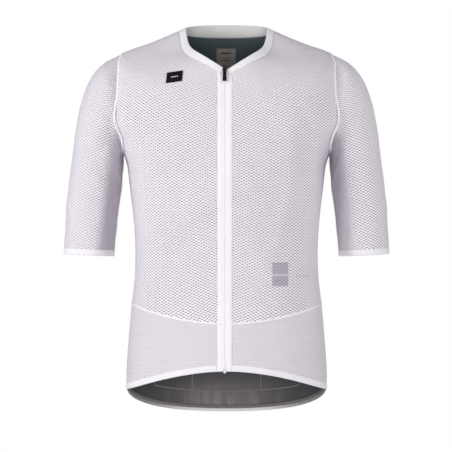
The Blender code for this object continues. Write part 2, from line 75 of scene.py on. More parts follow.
torsoSections = np.array([
    # height  width   front   back    power  rise     drop    neck
    [-0.6245, 0.1752, 0.1170, 0.1220, 2.32, 0.0385, 0.0540, 0.000],   # hem edge
    [-0.6130, 0.1750, 0.1168, 0.1205, 2.32, 0.0380, 0.0540, 0.000],   # hem seam
    [-0.5900, 0.1747, 0.1160, 0.1175, 2.32, 0.0290, 0.0500, 0.000],   # foot of the pockets
    [-0.5550, 0.1724, 0.1140, 0.1100, 2.32, 0.0060, 0.0370, 0.000],
    [-0.5150, 0.1692, 0.1115, 0.1020, 2.32, -0.0180, 0.0210, 0.000],
    [-0.4755, 0.1655, 0.1100, 0.0955, 2.32, -0.0310, 0.0080, 0.000],  # waist seam
    [-0.4350, 0.1606, 0.1100, 0.0930, 2.32, -0.0150, 0.0030, 0.000],
    [-0.4000, 0.1587, 0.1108, 0.0930, 2.32, -0.0050, 0.0010, 0.000],
    [-0.3600, 0.1593, 0.1150, 0.0965, 2.32, 0.0000, 0.0000, 0.000],
    [-0.3100, 0.1637, 0.1205, 0.1065, 2.34, 0.0000, 0.0000, 0.000],
    [-0.2700, 0.1687, 0.1245, 0.1130, 2.36, 0.0000, 0.0000, 0.000],
    [-0.2360, 0.1728, 0.1258, 0.1168, 2.38, 0.0000, 0.0000, 0.001],
    [-0.2150, 0.1795, 0.1248, 0.1170, 2.40, 0.0000, 0.0010, 0.005],   # underarm
    [-0.1900, 0.1870, 0.1232, 0.1160, 2.40, 0.0000, 0.0030, 0.012],
    [-0.1550, 0.2070, 0.1205, 0.1135, 2.40, 0.0000, 0.0070, 0.030],
    [-0.1270, 0.2107, 0.1182, 0.1105, 2.40, 0.0000, 0.0120, 0.045],
    [-0.1000, 0.2050, 0.1165, 0.1060, 2.40, 0.0000, 0.0180, 0.060],
    [-0.0630, 0.1945, 0.1130, 0.1000, 2.38, 0.0000, 0.0250, 0.078],
    [-0.0390, 0.1810, 0.1080, 0.0950, 2.36, 0.0000, 0.0310, 0.086],   # shoulder point
    [-0.0200, 0.1300, 0.1020, 0.0800, 2.34, 0.0000, 0.0110, 0.086],
    [0.0000, 0.0830, 0.0950, 0.0620, 2.34, 0.0000, 0.0050, 0.086],    # neck seam
])
collarTop = np.array([0.0058, 0.0710, 0.0915, 0.0565, 2.40, 0.0000, -0.0112, 0.0815])

sleeveRings = np.array([
    # outer x, outer z, inner x, inner z, depth
    [0.2140, -0.0570, 0.1803, -0.2200, 0.0630],
    [0.2380, -0.0850, 0.1806, -0.2280, 0.0620],
    [0.2532, -0.1230, 0.1812, -0.2370, 0.0600],
    [0.2625, -0.1650, 0.1822, -0.2500, 0.0580],
    [0.2698, -0.2150, 0.1842, -0.2720, 0.0560],
    [0.2762, -0.2700, 0.1880, -0.3050, 0.0540],
    [0.2808, -0.3300, 0.1925, -0.3450, 0.0520],
    [0.2840, -0.3785, 0.1960, -0.3830, 0.0510],   # cuff seam
    [0.2845, -0.3895, 0.1965, -0.3940, 0.0510],   # cuff edge
])

# Soft swells and troughs: side (-1 front, 1 back), middle x and z, lean from level in degrees,
# half length, half width and how far they stand out.
torsoFolds = np.array([
    [-1, -0.092, -0.222, 12, 0.060, 0.024, 0.0030],   # under the right chest
    [-1, -0.105, -0.262, 20, 0.070, 0.020, -0.0025],
    [-1, -0.060, -0.325, 38, 0.075, 0.022, 0.0028],   # across the belly
    [-1, -0.098, -0.385, 30, 0.065, 0.024, -0.0028],
    [-1, 0.100, -0.225, -14, 0.060, 0.024, 0.0024],   # under the left chest
    [-1, 0.112, -0.275, 84, 0.105, 0.016, 0.0046],    # ridge down the left side
    [-1, 0.060, -0.400, -25, 0.070, 0.026, 0.0020],
    [1, 0.000, -0.240, 90, 0.120, 0.022, -0.0040],    # down the spine
    [1, 0.085, -0.130, -35, 0.060, 0.024, 0.0042],    # over the shoulder blades
    [1, -0.085, -0.130, 35, 0.060, 0.024, 0.0042],
    [1, 0.070, -0.345, -12, 0.075, 0.018, -0.0046],   # above the pockets
    [1, -0.065, -0.385, 10, 0.070, 0.018, -0.0042],
    # smaller creases
    [-1, 0.131, -0.280, 78, 0.085, 0.012, -0.0058],   # long trough down the left side
    [-1, 0.152, -0.330, 76, 0.055, 0.010, 0.0022],
    [-1, -0.150, -0.205, 42, 0.030, 0.007, -0.0022],  # from the right underarm
    [-1, -0.140, -0.190, 50, 0.034, 0.008, 0.0016],
    [-1, -0.148, -0.240, 18, 0.030, 0.008, 0.0014],
    [-1, 0.150, -0.205, -44, 0.032, 0.007, -0.0022],  # from the left underarm
    [-1, 0.138, -0.188, -52, 0.036, 0.008, 0.0016],
    [-1, 0.146, -0.246, -70, 0.040, 0.008, 0.0016],
    [-1, -0.135, -0.345, 24, 0.045, 0.010, 0.0014],   # at the waist's sides
    [-1, -0.128, -0.425, -12, 0.045, 0.011, -0.0012],
    [-1, 0.130, -0.360, -30, 0.045, 0.010, 0.0014],
    [-1, 0.120, -0.440, 10, 0.050, 0.011, -0.0012],
    [-1, -0.100, -0.560, 14, 0.055, 0.010, 0.0014],   # on the waist panels
    [-1, -0.060, -0.535, -6, 0.040, 0.009, -0.0010],
    [-1, 0.095, -0.555, -16, 0.055, 0.010, 0.0015],
    [-1, 0.105, -0.585, -24, 0.045, 0.008, -0.0012],
    [1, -0.120, -0.215, 38, 0.050, 0.010, -0.0030],   # on the back
    [1, 0.125, -0.220, -36, 0.050, 0.010, -0.0030],
    [1, 0.040, -0.300, -8, 0.060, 0.011, 0.0026],
    [1, -0.030, -0.415, 12, 0.060, 0.010, -0.0026],
    [1, 0.105, -0.420, -18, 0.045, 0.010, 0.0014],
    [1, -0.110, -0.300, 22, 0.050, 0.011, 0.0015],
])

# The same on the left sleeve: turn in degrees (0 outer line, 90 back, 180 inner line, 270 front), distance
# down from the armhole, lean, half length, half width and depth. The right sleeve has them mirrored.
sleeveFolds = np.array([
    [250, 0.045, 62, 0.040, 0.010, -0.0028],
    [268, 0.060, 55, 0.045, 0.011, 0.0022],
    [232, 0.075, 48, 0.035, 0.009, 0.0018],
    [300, 0.110, 30, 0.050, 0.014, -0.0016],
    [262, 0.150, 24, 0.050, 0.013, 0.0018],
    [238, 0.180, 14, 0.040, 0.010, -0.0016],
    [285, 0.235, -12, 0.050, 0.012, 0.0013],
    [110, 0.050, -58, 0.042, 0.011, -0.0026],
    [92, 0.075, -50, 0.045, 0.012, 0.0020],
    [128, 0.100, -42, 0.035, 0.010, 0.0018],
    [70, 0.140, -26, 0.050, 0.014, -0.0015],
    [105, 0.190, -16, 0.050, 0.012, 0.0015],
    [15, 0.120, 6, 0.050, 0.013, -0.0012],
    [350, 0.200, -8, 0.050, 0.014, 0.0012],
])


def signedPower(value, power):
    return np.sign(value) * np.abs(value) ** power


def knotSlopes(knots, rows):
    slopes = [(rows[min(i + 1, len(rows) - 1)] - rows[max(i - 1, 0)])
              / (knots[min(i + 1, len(rows) - 1)] - knots[max(i - 1, 0)]) for i in range(len(rows))]
    return np.array(slopes)


def smoothBetween(low, high, leaving, arriving, t, span):
    return (low * (2 * t**3 - 3 * t**2 + 1) + high * (3 * t**2 - 2 * t**3)
            + leaving * (t**3 - 2 * t**2 + t) * span + arriving * (t**3 - t**2) * span)


torsoSlopes = knotSlopes(torsoSections[:, 0], torsoSections)


def sectionAt(height):
    knots = torsoSections[:, 0]
    i = np.clip(np.searchsorted(knots, height, side="right") - 1, 0, len(knots) - 2)
    span = (knots[i + 1] - knots[i])[:, None]
    t = (height - knots[i])[:, None] / span
    return smoothBetween(torsoSections[i], torsoSections[i + 1], torsoSlopes[i], torsoSlopes[i + 1], t, span)


def ripple(u, v):
    # the slight unevenness that a knit has everywhere
    total = 0.00034 * np.sin(61 * u + 23 * v + 0.4) + 0.00030 * np.sin(-37 * u + 71 * v + 2.1)
    return total + 0.00022 * np.sin(118 * u + 64 * v + 1.2) + 0.00018 * np.sin(-96 * u + 133 * v + 4.0)


def foldHeight(folds, u, v):
    total = ripple(u, v)
    for middleU, middleV, lean, length, width, depth in folds:
        cosine, sine = math.cos(math.radians(lean)), math.sin(math.radians(lean))
        along = (u - middleU) * cosine + (v - middleV) * sine
        across = (v - middleV) * cosine - (u - middleU) * sine
        across = across - 0.12 * along**2 / length    # folds bend a little
        total = total + depth * np.exp(-((along / length) ** 2) - (across / width) ** 2)
    return total


def surfacePoints(section, angle):
    # angle 0 is the wearer's left side, a quarter turn the middle of the front
    height, width, front, back, power, rise, drop, neck = section.T
    x = width * signedPower(np.cos(angle), 2 / power)
    across = np.abs(x) / width
    sine = np.sin(angle)
    reach = np.abs(sine) ** (2 / power)

    def lifted(value):
        return (value**2 + form["neckRound"] ** 2) ** 0.35
    rounded = (lifted(sine) - lifted(0)) / (lifted(1) - lifted(0))
    low = form["neckFull"] * rounded + (1 - form["neckFull"]) * (1 - across)
    turned = 1 - np.exp(-(sine / form["collarCorner"]) ** 2)
    intoCollar = np.clip((form["neckHalf"] - width) / form["collarFade"], 0, 1)
    full = form["collarFull"] + (form["collarTopFull"] - form["collarFull"]) * intoCollar
    high = full * turned + (1 - full) * (1 - across)
    scoop = low + (high - low) * np.clip((form["lowNeck"] - width) / form["lowNeckFade"], 0, 1)
    frontZ = height + rise * (1 - across ** form["risePower"]) - neck * scoop
    backZ = height - drop * np.abs(sine) ** form["dropPower"]
    z = np.where(sine >= 0, frontZ, backZ)
    frontY = -(front + foldHeight(torsoFolds[torsoFolds[:, 0] < 0][:, 1:], x, z)) * reach
    backY = (back + foldHeight(torsoFolds[torsoFolds[:, 0] > 0][:, 1:], x, z)) * reach
    return np.stack([x, np.where(sine >= 0, frontY, backY), z], axis=1)


def torsoPoints(height, angle):
    return surfacePoints(sectionAt(height), angle)


def angleAt(section, x):
    return np.arccos(signedPower(x / section[:, 1], section[:, 4] / 2))


def armTurn(section, backSide):
    # how far the armhole's edge lies from the shoulder line, as a turn of the section
    level = np.clip((section[:, 0] - form["armMiddle"]) / form["armRise"], -1, 1)
    edge = np.where(backSide, form["armBack"], form["armFront"]) * np.sqrt(1 - level**2)
    depth = np.where(backSide, section[:, 3], section[:, 2])
    return np.arcsin((edge / depth) ** (section[:, 4] / 2))


def torsoHeights():
    # rows crowd together at both ends of the armhole
    rows = list(np.linspace(waistSeam, underarm, 40)[:-1])
    rows += list(form["armMiddle"] - form["armRise"] * np.cos(np.linspace(0, math.pi, 44)))
    return np.array(rows + list(np.linspace(shoulderPoint, 0, 13)[1:]))


upperHeights = torsoHeights()
lowerHeights = np.linspace(hemSeam, waistSeam, 22)
backHeights = np.concatenate([lowerHeights[:-1], upperHeights])


def rowHeight(heights, share):
    return np.interp(share * (len(heights) - 1), np.arange(len(heights)), heights)


def columnTurn(start, end, share):
    return end * share + start * (1 - share) ** 2


def frontSurface(heights, side):
    # a front from the side seam to the zip tape: side is 1 for the left, -1 for the right
    def surface(across, up):
        section = sectionAt(rowHeight(heights, up))
        end = angleAt(section, form["zipX"] + side * form["tapeEdge"])
        if side > 0:
            return surfacePoints(section, columnTurn(armTurn(section, False), end, 1 - across))
        return surfacePoints(section, math.pi - columnTurn(armTurn(section, False), math.pi - end, across))
    return surface


def backAtHeight(across, height):
    section = sectionAt(height)
    half = columnTurn(armTurn(section, True), math.pi / 2, 1 - np.abs(1 - 2 * across))
    return surfacePoints(section, np.where(across < 0.5, 2 * math.pi - half, math.pi + half))


def wholeBack(across, up):
    return backAtHeight(across, rowHeight(backHeights, up))


def armholeEdge(turn):
    # the sections that the armhole's edge crosses, and the angle where it crosses each
    section = sectionAt(form["armMiddle"] + form["armRise"] * np.cos(turn))
    backSide = np.sin(turn) >= 0
    edge = armTurn(section, backSide)
    return section, np.where(backSide, 2 * math.pi - edge, edge)


def armholePoints(turn):
    return surfacePoints(*armholeEdge(turn))


def ringPoints(ring, turn):
    outerX, outerZ, innerX, innerZ, depth = ring
    power = 2 / form["sleevePower"]
    out = signedPower(np.cos(turn), power) / 2
    inwards = np.clip((-2 * out - 0.40) / 0.55, 0, 1)
    flat = np.clip((0.2620 - outerX) / -0.012 + 0.3, 0.3, 1) * form["innerFlat"]    # flatter further down
    depth = depth * (1 - flat * inwards * inwards * (3 - 2 * inwards))
    x = (outerX + innerX) / 2 + (outerX - innerX) * out
    z = (outerZ + innerZ) / 2 + (outerZ - innerZ) * out
    return np.stack([x, signedPower(np.sin(turn), power) * depth, z], axis=1)


def ringStack(turn):
    return np.array([armholePoints(turn)] + [ringPoints(ring, turn) for ring in sleeveRings])


evenTurns = np.linspace(0, 2 * math.pi, 73)[:-1]
ringSteps = np.linalg.norm(np.diff(ringStack(evenTurns), axis=0), axis=2).mean(axis=1)
ringDistances = np.concatenate([[0.0], np.cumsum(ringSteps)])    # down the sleeve from the armhole
sleeveLength, cuffLength = ringDistances[-2], ringDistances[-1]


def sleevePoints(turn, distance):
    def along(stack):
        slopes = knotSlopes(ringDistances, stack)
        i = np.clip(np.searchsorted(ringDistances, distance, side="right") - 1, 0, len(ringDistances) - 2)
        k = np.arange(len(distance))
        span = (ringDistances[i + 1] - ringDistances[i])[:, None]
        t = (distance - ringDistances[i])[:, None] / span
        return smoothBetween(stack[i, k], stack[i + 1, k], slopes[i, k], slopes[i + 1, k], t, span)

    points = along(ringStack(turn))
    middle = (along(ringStack(np.zeros_like(turn))) + along(ringStack(np.full_like(turn, math.pi)))) / 2
    outward = points - middle
    outward /= np.linalg.norm(outward, axis=1)[:, None]
    radius = 0.050
    # no folds at the ends
    fade = np.clip(distance / 0.02, 0, 1) * np.clip((cuffLength - distance) / 0.03, 0, 1)
    total = np.zeros_like(turn)
    for degrees, *fold in sleeveFolds:
        u = (np.mod(turn - math.radians(degrees) + math.pi, 2 * math.pi) - math.pi) * radius
        total += foldHeight([(0, *fold)], u, distance) - ripple(u, distance)
    total += ripple(np.sin(turn) * radius, distance + np.cos(turn) * radius)
    return points + outward * (total * fade)[:, None]


def leftSleeve(across, up):
    return sleevePoints(math.pi + 2 * math.pi * across, sleeveLength * (1 - up))


def leftCuff(across, up):
    return sleevePoints(math.pi + 2 * math.pi * across, cuffLength + (sleeveLength - cuffLength) * up)


def mirroredSurface(surface):
    return lambda across, up: surface(1 - across, up) * np.array([-1, 1, 1])


def collarSurface(across, up):
    # from the left end at the zip, round the back of the neck, to the right end
    section = torsoSections[-1] + (collarTop - torsoSections[-1]) * up[:, None]
    first = angleAt(section, form["zipX"] + form["collarEnd"])
    last = angleAt(section, form["zipX"] - form["collarEnd"]) - 2 * math.pi
    return surfacePoints(section, first + (last - first) * across)


def roundSurface(low, high, firstTurn, lastTurn):
    # a strip round the torso between two heights and two turns of the section
    def surface(across, up):
        section = sectionAt(low + (high - low) * up)
        start, end = firstTurn(section), lastTurn(section)
        return surfacePoints(section, start + (end - start) * across)
    return surface


def hemSurface(firstTurn, lastTurn):
    return roundSurface(hemEdge, hemSeam, firstTurn, lastTurn)


def zipTurn(offset):
    return lambda section: angleAt(section, form["zipX"] + offset)


def sideTurn(turn):
    return lambda section: np.full(len(section), turn)


def zipSurface(first, last):
    # a strip of the front beside the zip: across runs up it, and up runs over it from one edge to the other.
    # An edge is a distance from the zip's middle, or a function that gives it for each share of the height.
    def surface(across, up):
        section = sectionAt(hemEdge * (1 - across))
        start, end = (edge(across) if callable(edge) else edge for edge in (first, last))
        return surfacePoints(section, angleAt(section, form["zipX"] + start + (end - start) * up))
    return surface


def unit(vectors):
    return vectors / np.maximum(np.linalg.norm(vectors, axis=1), 1e-9)[:, None]


def runAlong(points):
    # the distance along a line to each of its points
    return np.concatenate([[0], np.cumsum(np.linalg.norm(np.diff(points, axis=0), axis=1))])


def outwardAt(surface, across, up, step=0.004):
    # outward normals of a surface whose columns run anticlockwise and whose rows run up
    a0, a1 = np.clip(across - step, 0, 1), np.clip(across + step, 0, 1)
    u0, u1 = np.clip(up - step, 0, 1), np.clip(up + step, 0, 1)
    return unit(np.cross(surface(a1, up) - surface(a0, up), surface(across, u1) - surface(across, u0)))


def evenLine(points, spacing, closed=False):
    # places along a line, as shares of its samples, an even distance apart
    run = runAlong(points)
    at = np.linspace(0, run[-1], max(int(round(run[-1] / spacing)), 2) + 1)
    share = np.interp(at, run, np.linspace(0, 1, len(points)))
    return share[:-1] if closed else share


leftFront, rightFront = frontSurface(upperHeights, 1), frontSurface(upperHeights, -1)
leftWaist, rightWaist = frontSurface(lowerHeights, 1), frontSurface(lowerHeights, -1)
rightSleeve, rightCuff = mirroredSurface(leftSleeve), mirroredSurface(leftCuff)
leftHem = hemSurface(zipTurn(form["tapeEdge"]), sideTurn(0.0))
rightHem = hemSurface(sideTurn(math.pi), zipTurn(-form["tapeEdge"]))
tailHem = hemSurface(sideTurn(2 * math.pi), sideTurn(math.pi))


# Meshes

def coordinates(bm):
    return np.array([vert.co for vert in bm.verts])


def moveVerts(bm, points):
    for vert, point in zip(bm.verts, points):
        vert.co = point


def gridMesh(columns, rows):
    bm = bmesh.new()
    bmesh.ops.create_grid(bm, x_segments=columns, y_segments=rows, size=0.5)
    bmesh.ops.translate(bm, verts=bm.verts, vec=(0.5, 0.5, 0))
    return bm


def wrappedGrid(surface, columns, rows):
    # a grid on a surface, and each vertex's shares across and up it
    bm = gridMesh(columns, rows)
    share = coordinates(bm)
    moveVerts(bm, surface(share[:, 0], share[:, 1]))
    return bm, share


def setUv(bm, flat):
    bm.verts.index_update()
    layer = bm.loops.layers.uv.new("grain")
    for face in bm.faces:
        for loop in face.loops:
            loop[layer].uv = flat[loop.vert.index]


def meshFrom(name, bm):
    mesh = bpy.data.meshes.new(name)
    bm.to_mesh(mesh)
    bm.free()
    return mesh


def addObject(name, data):
    made = bpy.data.objects.new(name, data)
    bpy.context.scene.collection.objects.link(made)
    return made


def makePiece(name, bm, materials, slot, stands=(), sharp=None, body="garment"):
    mesh = meshFrom(name, bm)
    for made in materials:
        mesh.materials.append(made)
    mesh.shade_smooth()
    if sharp:
        mesh.set_sharp_from_angle(angle=math.radians(sharp))
    piece = addObject(name, mesh)
    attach(piece, body)
    if stands:
        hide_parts(*stands)
    return piece


def solidify(piece, thickness, offset=-1.0):
    wall = piece.modifiers.new("wall", "SOLIDIFY")
    wall.thickness = thickness
    wall.offset = offset
    wall.material_offset = 1 if len(piece.data.materials) > 1 else 0
    return piece


def roundEdges(bm, edges, radius, segments=2, clamp=False):
    bmesh.ops.bevel(bm, geom=edges, offset=radius, segments=segments, profile=0.5, affect="EDGES",
                    clamp_overlap=clamp, material=-1)


def flatten(surface, columns, rows, grain):
    # lays a panel's surface flat with the least stretch, in metres, its grain line upright from the origin
    bm, share = wrappedGrid(surface, columns, rows)
    mesh = meshFrom("flatForm", bm)
    shell = addObject("flatForm", mesh)
    bpy.context.view_layer.objects.active = shell
    shell.select_set(True)
    bpy.ops.object.mode_set(mode="EDIT")
    bpy.ops.mesh.select_all(action="SELECT")
    bpy.ops.uv.unwrap(method="MINIMUM_STRETCH", margin=0.0)
    bpy.ops.object.mode_set(mode="OBJECT")

    corner = np.zeros(len(mesh.loops), int)
    mesh.loops.foreach_get("vertex_index", corner)
    spots = np.zeros(2 * len(mesh.loops))
    mesh.uv_layers.active.data.foreach_get("uv", spots)
    flat = np.zeros((len(mesh.vertices), 2))
    flat[corner] = spots.reshape(-1, 2)
    mesh.calc_loop_triangles()
    triangles = np.zeros(3 * len(mesh.loop_triangles), int)
    mesh.loop_triangles.foreach_get("vertices", triangles)
    triangles = triangles.reshape(-1, 3)
    points = np.array([vert.co for vert in mesh.vertices])
    bpy.data.objects.remove(shell)

    a, b, c = (points[triangles[:, i]] for i in range(3))
    area = np.linalg.norm(np.cross(b - a, c - a), axis=1).sum() / 2
    a, b, c = (flat[triangles[:, i]] for i in range(3))
    turned = ((b - a)[:, 0] * (c - a)[:, 1] - (b - a)[:, 1] * (c - a)[:, 0]).sum() / 2
    if turned < 0:
        flat[:, 0] *= -1
    flat *= math.sqrt(area / abs(turned))
    line = flat[np.isclose(share[:, 0], grain)]
    lean = math.atan2(line[-1, 0] - line[0, 0], line[-1, 1] - line[0, 1])
    turn = np.array([[math.cos(lean), math.sin(lean)], [-math.sin(lean), math.cos(lean)]])
    flat = (flat - line[0]) @ turn
    return {"flat": flat, "share": share, "triangles": triangles, "area": area}


def cutAndWrap(surface, laid, pitch, relief=None):
    # cuts a fine grid of cloth to the flat outline, then wraps it on the form
    corners = [Vector((u, v, 0)) for u, v in laid["flat"]]
    shares = [Vector(spot) for spot in laid["share"]]
    tree = BVHTree.FromPolygons(corners, laid["triangles"].tolist())
    low = np.floor(laid["flat"].min(axis=0) / pitch) - 1
    count = (np.ceil(laid["flat"].max(axis=0) / pitch) + 1 - low).astype(int)
    bm = gridMesh(int(count[0]), int(count[1]))
    outside = set()
    for index, vert in enumerate(bm.verts):
        vert.index = index
        u, v = ((vert.co[axis] * count[axis] + low[axis]) * pitch[axis] for axis in (0, 1))
        spot = Vector((u, v, 0))
        near, _, _, away = tree.find_nearest(spot)
        vert.co = near
        if away > 1e-6:
            outside.add(index)
    waste = [face for face in bm.faces if all(vert.index in outside for vert in face.verts)]
    bmesh.ops.delete(bm, geom=waste, context="FACES")
    bmesh.ops.remove_doubles(bm, verts=bm.verts, dist=min(pitch) * 0.12)

    flat, spots = [], []
    for vert in bm.verts:
        near, _, index, _ = tree.find_nearest(vert.co)
        one, two, three = laid["triangles"][index]
        place = barycentric_transform(near, corners[one], corners[two], corners[three],
                                      shares[one], shares[two], shares[three])
        flat.append((vert.co.x, vert.co.y))
        spots.append((place.x, place.y))
    flat, spots = np.array(flat), np.clip(np.array(spots), 0, 1)
    edge = np.array([vert.is_boundary for vert in bm.verts])
    moveVerts(bm, surface(spots[:, 0], spots[:, 1]))
    setUv(bm, flat)
    if relief:
        bm.normal_update()
        normals, places = np.array([vert.normal[:] for vert in bm.verts]), coordinates(bm)
        share, paintedShade = openShare(normals, places), paintedShadeShare(normals, places)
        # each vertex also keeps how much shade is painted on it
        openLayer = bm.verts.layers.float.new("open")
        paintedShadeLayer = bm.verts.layers.float.new("paintedShade")
        depths = np.where(edge, 0, relief(flat[:, 0], flat[:, 1], share))
        for vert, openness, shadeAmount, depth in zip(bm.verts, share, paintedShade, depths):
            vert[openLayer], vert[paintedShadeLayer] = openness, shadeAmount
            vert.co += vert.normal * depth
    return bm


def closeTube(bm, places, closed):
    # joins a wrapped grid into a tube, with flat ends unless the tube is a ring
    setUv(bm, places)
    bmesh.ops.remove_doubles(bm, verts=bm.verts, dist=1e-6)
    if not closed:
        bmesh.ops.holes_fill(bm, edges=[edge for edge in bm.edges if edge.is_boundary], sides=0)
    bmesh.ops.recalc_face_normals(bm, faces=bm.faces)
    return bm


def sweep(path, out, profile, closed=False):
    # a closed outline carried along a line: the path's points and outward normals, and pairs of
    # (sideways, outwards) round the outline; sideways is to the left of the line seen from outside
    if closed:
        path, out = np.vstack([path, path[:1]]), np.vstack([out, out[:1]])
        ahead = unit(np.vstack([path[1:], path[1:2]]) - np.vstack([path[-2:-1], path[:-1]]))
        ahead[-1] = ahead[0]
    else:
        ahead = unit(np.gradient(path, axis=0))
    side = unit(np.cross(out, ahead))
    outline = np.vstack([profile, profile[:1]])
    bm = gridMesh(len(outline) - 1, len(path) - 1)
    cells = coordinates(bm)
    i = np.rint(cells[:, 1] * (len(path) - 1)).astype(int)
    j = np.rint(cells[:, 0] * (len(outline) - 1)).astype(int)
    moveVerts(bm, path[i] + side[i] * outline[j, :1] + out[i] * outline[j, 1:])
    return closeTube(bm, np.stack([runAlong(outline)[j], runAlong(path)[i]], axis=1), closed)


def ellipse(width, height, lift=0.0, count=10, squareness=2.6):
    turn = np.linspace(0, 2 * math.pi, count + 1)[:-1]
    power = 2 / squareness
    return np.stack([signedPower(np.cos(turn), power) * width / 2,
                     signedPower(np.sin(turn), power) * height / 2 + lift], axis=1)


def bandMesh(surface, along, outline, closed=False):
    # a folded band: outline is pairs of (share up the band, distance out of the surface)
    outline = np.vstack([outline, outline[:1]])
    bm = gridMesh(len(along) - 1, len(outline) - 1)
    cells = coordinates(bm)
    i = np.rint(cells[:, 0] * (len(along) - 1)).astype(int)
    j = np.rint(cells[:, 1] * (len(outline) - 1)).astype(int)
    across, up = along[i], outline[j, 0]
    out = outwardAt(surface, across, np.full_like(up, 0.5), 0.01)
    moveVerts(bm, surface(across, up) + out * outline[j, 1:])
    run = runAlong(surface(along, np.full_like(along, 0.5)))
    rise = up * bands["grainWidth"] + np.where(outline[j, 1] < 0, bands["grainBack"], 0)
    return closeTube(bm, np.stack([run[i], rise], axis=1), closed)


bands = {
    "proud": 0.0005,        # how far a band stands out of the cloth's surface
    "deep": 0.0016,         # and how far its back lies behind it
    "pieces": 150,          # steps round a long band
    "grainWidth": 0.0115,   # the knit's own scale up a band
    "grainBack": 0.030,     # and where its back begins
}


# Materials

def node(tree, kind, **settings):
    made = tree.nodes.new(kind)
    for key, value in settings.items():
        setattr(made, key, value)
    return made


def calc(tree, operation, first, second=None, third=None, clamp=False):
    made = node(tree, "ShaderNodeMath", operation=operation, use_clamp=clamp)
    for socket, value in zip(made.inputs, (first, second, third)):
        if value is None:
            continue
        if isinstance(value, (int, float)):
            socket.default_value = value
        else:
            tree.links.new(value, socket)
    return made.outputs[0]


def ramp(tree, value, start, end, low=0.0, high=1.0):
    made = node(tree, "ShaderNodeMapRange", interpolation_type="SMOOTHSTEP")
    tree.links.new(value, made.inputs["Value"])
    for key, number in (("From Min", start), ("From Max", end), ("To Min", low), ("To Max", high)):
        made.inputs[key].default_value = number
    return made.outputs["Result"]


def mixColour(tree, share, first, second):
    made = node(tree, "ShaderNodeMix", data_type="RGBA")
    for socket, value in zip((made.inputs[0], made.inputs[6], made.inputs[7]), (share, first, second)):
        if isinstance(value, (int, float)):
            socket.default_value = value
        elif isinstance(value, tuple):
            socket.default_value = (*value, 1.0)
        else:
            tree.links.new(value, socket)
    return made.outputs[2]


def splitOf(tree, vector):
    made = node(tree, "ShaderNodeSeparateXYZ")
    tree.links.new(vector, made.inputs[0])
    return made.outputs


def attributeOf(tree, name):
    return node(tree, "ShaderNodeAttribute", attribute_name=name).outputs["Fac"]


def newGroup(name, numbers, outputs):
    # a group that takes a vector and named numbers, and gives values
    group = bpy.data.node_groups.new(name, "ShaderNodeTree")
    sockets = group.interface
    sockets.new_socket(name="Vector", in_out="INPUT", socket_type="NodeSocketVector")
    for label, value in numbers.items():
        sockets.new_socket(name=label, in_out="INPUT", socket_type="NodeSocketFloat").default_value = value
    for label in outputs:
        sockets.new_socket(name=label, in_out="OUTPUT", socket_type="NodeSocketFloat")
    return group, node(group, "NodeGroupInput").outputs, node(group, "NodeGroupOutput").inputs


def openKnitGroup():
    # staggered lens-shaped holes: alternate columns of them are half a row up
    group, given, result = newGroup(
        "openKnit", {"Column": 0.00415, "Row": 0.0048, "Half Width": 0.002, "Half Height": 0.0011},
        ["Hole", "Height"])
    split = splitOf(group, given["Vector"])
    column = calc(group, "DIVIDE", split["X"], given["Column"])
    row = calc(group, "DIVIDE", split["Y"], given["Row"])
    odd = calc(group, "FLOORED_MODULO", calc(group, "FLOOR", column), 2.0)
    row = calc(group, "MULTIPLY_ADD", odd, 0.5, row)
    sides = []
    for value, period, half in ((column, "Column", "Half Width"), (row, "Row", "Half Height")):
        off = calc(group, "SUBTRACT", calc(group, "FRACT", value), 0.5)
        off = calc(group, "MULTIPLY", calc(group, "ABSOLUTE", off), given[period])
        sides.append(calc(group, "POWER", calc(group, "DIVIDE", off, given[half]), 1.6))
    around = calc(group, "ADD", *sides)
    group.links.new(ramp(group, around, 0.35, 1.25, 1.0, 0.0), result["Hole"])
    group.links.new(ramp(group, around, 0.1, 1.9, 0.0, 1.0), result["Height"])
    return group


def fineKnitGroup():
    # rows of small interlocking loops
    group, given, result = newGroup("fineKnit", {"Loop": 0.0009}, ["Height"])
    split = splitOf(group, given["Vector"])
    across = calc(group, "MULTIPLY", calc(group, "DIVIDE", split["X"], given["Loop"]), math.pi)
    along = calc(group, "MULTIPLY", calc(group, "DIVIDE", split["Y"], given["Loop"]), 2 * math.pi)
    wale = calc(group, "ABSOLUTE", calc(group, "SINE", across))
    lean = calc(group, "MULTIPLY", wale, 1.6)
    course = calc(group, "SINE", calc(group, "ADD", along, lean))
    total = calc(group, "MULTIPLY_ADD", course, 0.35, wale)
    group.links.new(total, result["Height"])
    return group


def cloudGroup():
    # slow uneven tone, from the object's own coordinates
    group, given, result = newGroup("softCloud", {"Size": 12.0}, ["Shade"])
    noise = node(group, "ShaderNodeTexNoise")
    noise.inputs["Detail"].default_value = 3.0
    group.links.new(given["Vector"], noise.inputs["Vector"])
    group.links.new(given["Size"], noise.inputs["Scale"])
    group.links.new(ramp(group, noise.outputs["Fac"], 0.3, 0.7), result["Shade"])
    return group


openKnit, fineKnit, softCloud = openKnitGroup(), fineKnitGroup(), cloudGroup()


def useGroup(tree, group, vector, **values):
    made = node(tree, "ShaderNodeGroup", node_tree=group)
    tree.links.new(vector, made.inputs["Vector"])
    for key, value in values.items():
        made.inputs[key].default_value = value
    return made.outputs


def newMaterial(name, colour, roughness, metallic=0.0):
    made = bpy.data.materials.new(name)
    made.use_nodes = True
    shader = made.node_tree.nodes["Principled BSDF"]
    shader.inputs["Base Color"].default_value = (*colour, 1.0)
    shader.inputs["Roughness"].default_value = roughness
    shader.inputs["Metallic"].default_value = metallic
    shader.inputs["Specular IOR Level"].default_value = 0.3
    made.diffuse_color = (*colour, 1.0)
    return made, made.node_tree, shader


def grainOf(tree):
    return node(tree, "ShaderNodeUVMap", uv_map="grain").outputs[0]


def placeOf(tree):
    return node(tree, "ShaderNodeTexCoord").outputs["Object"]


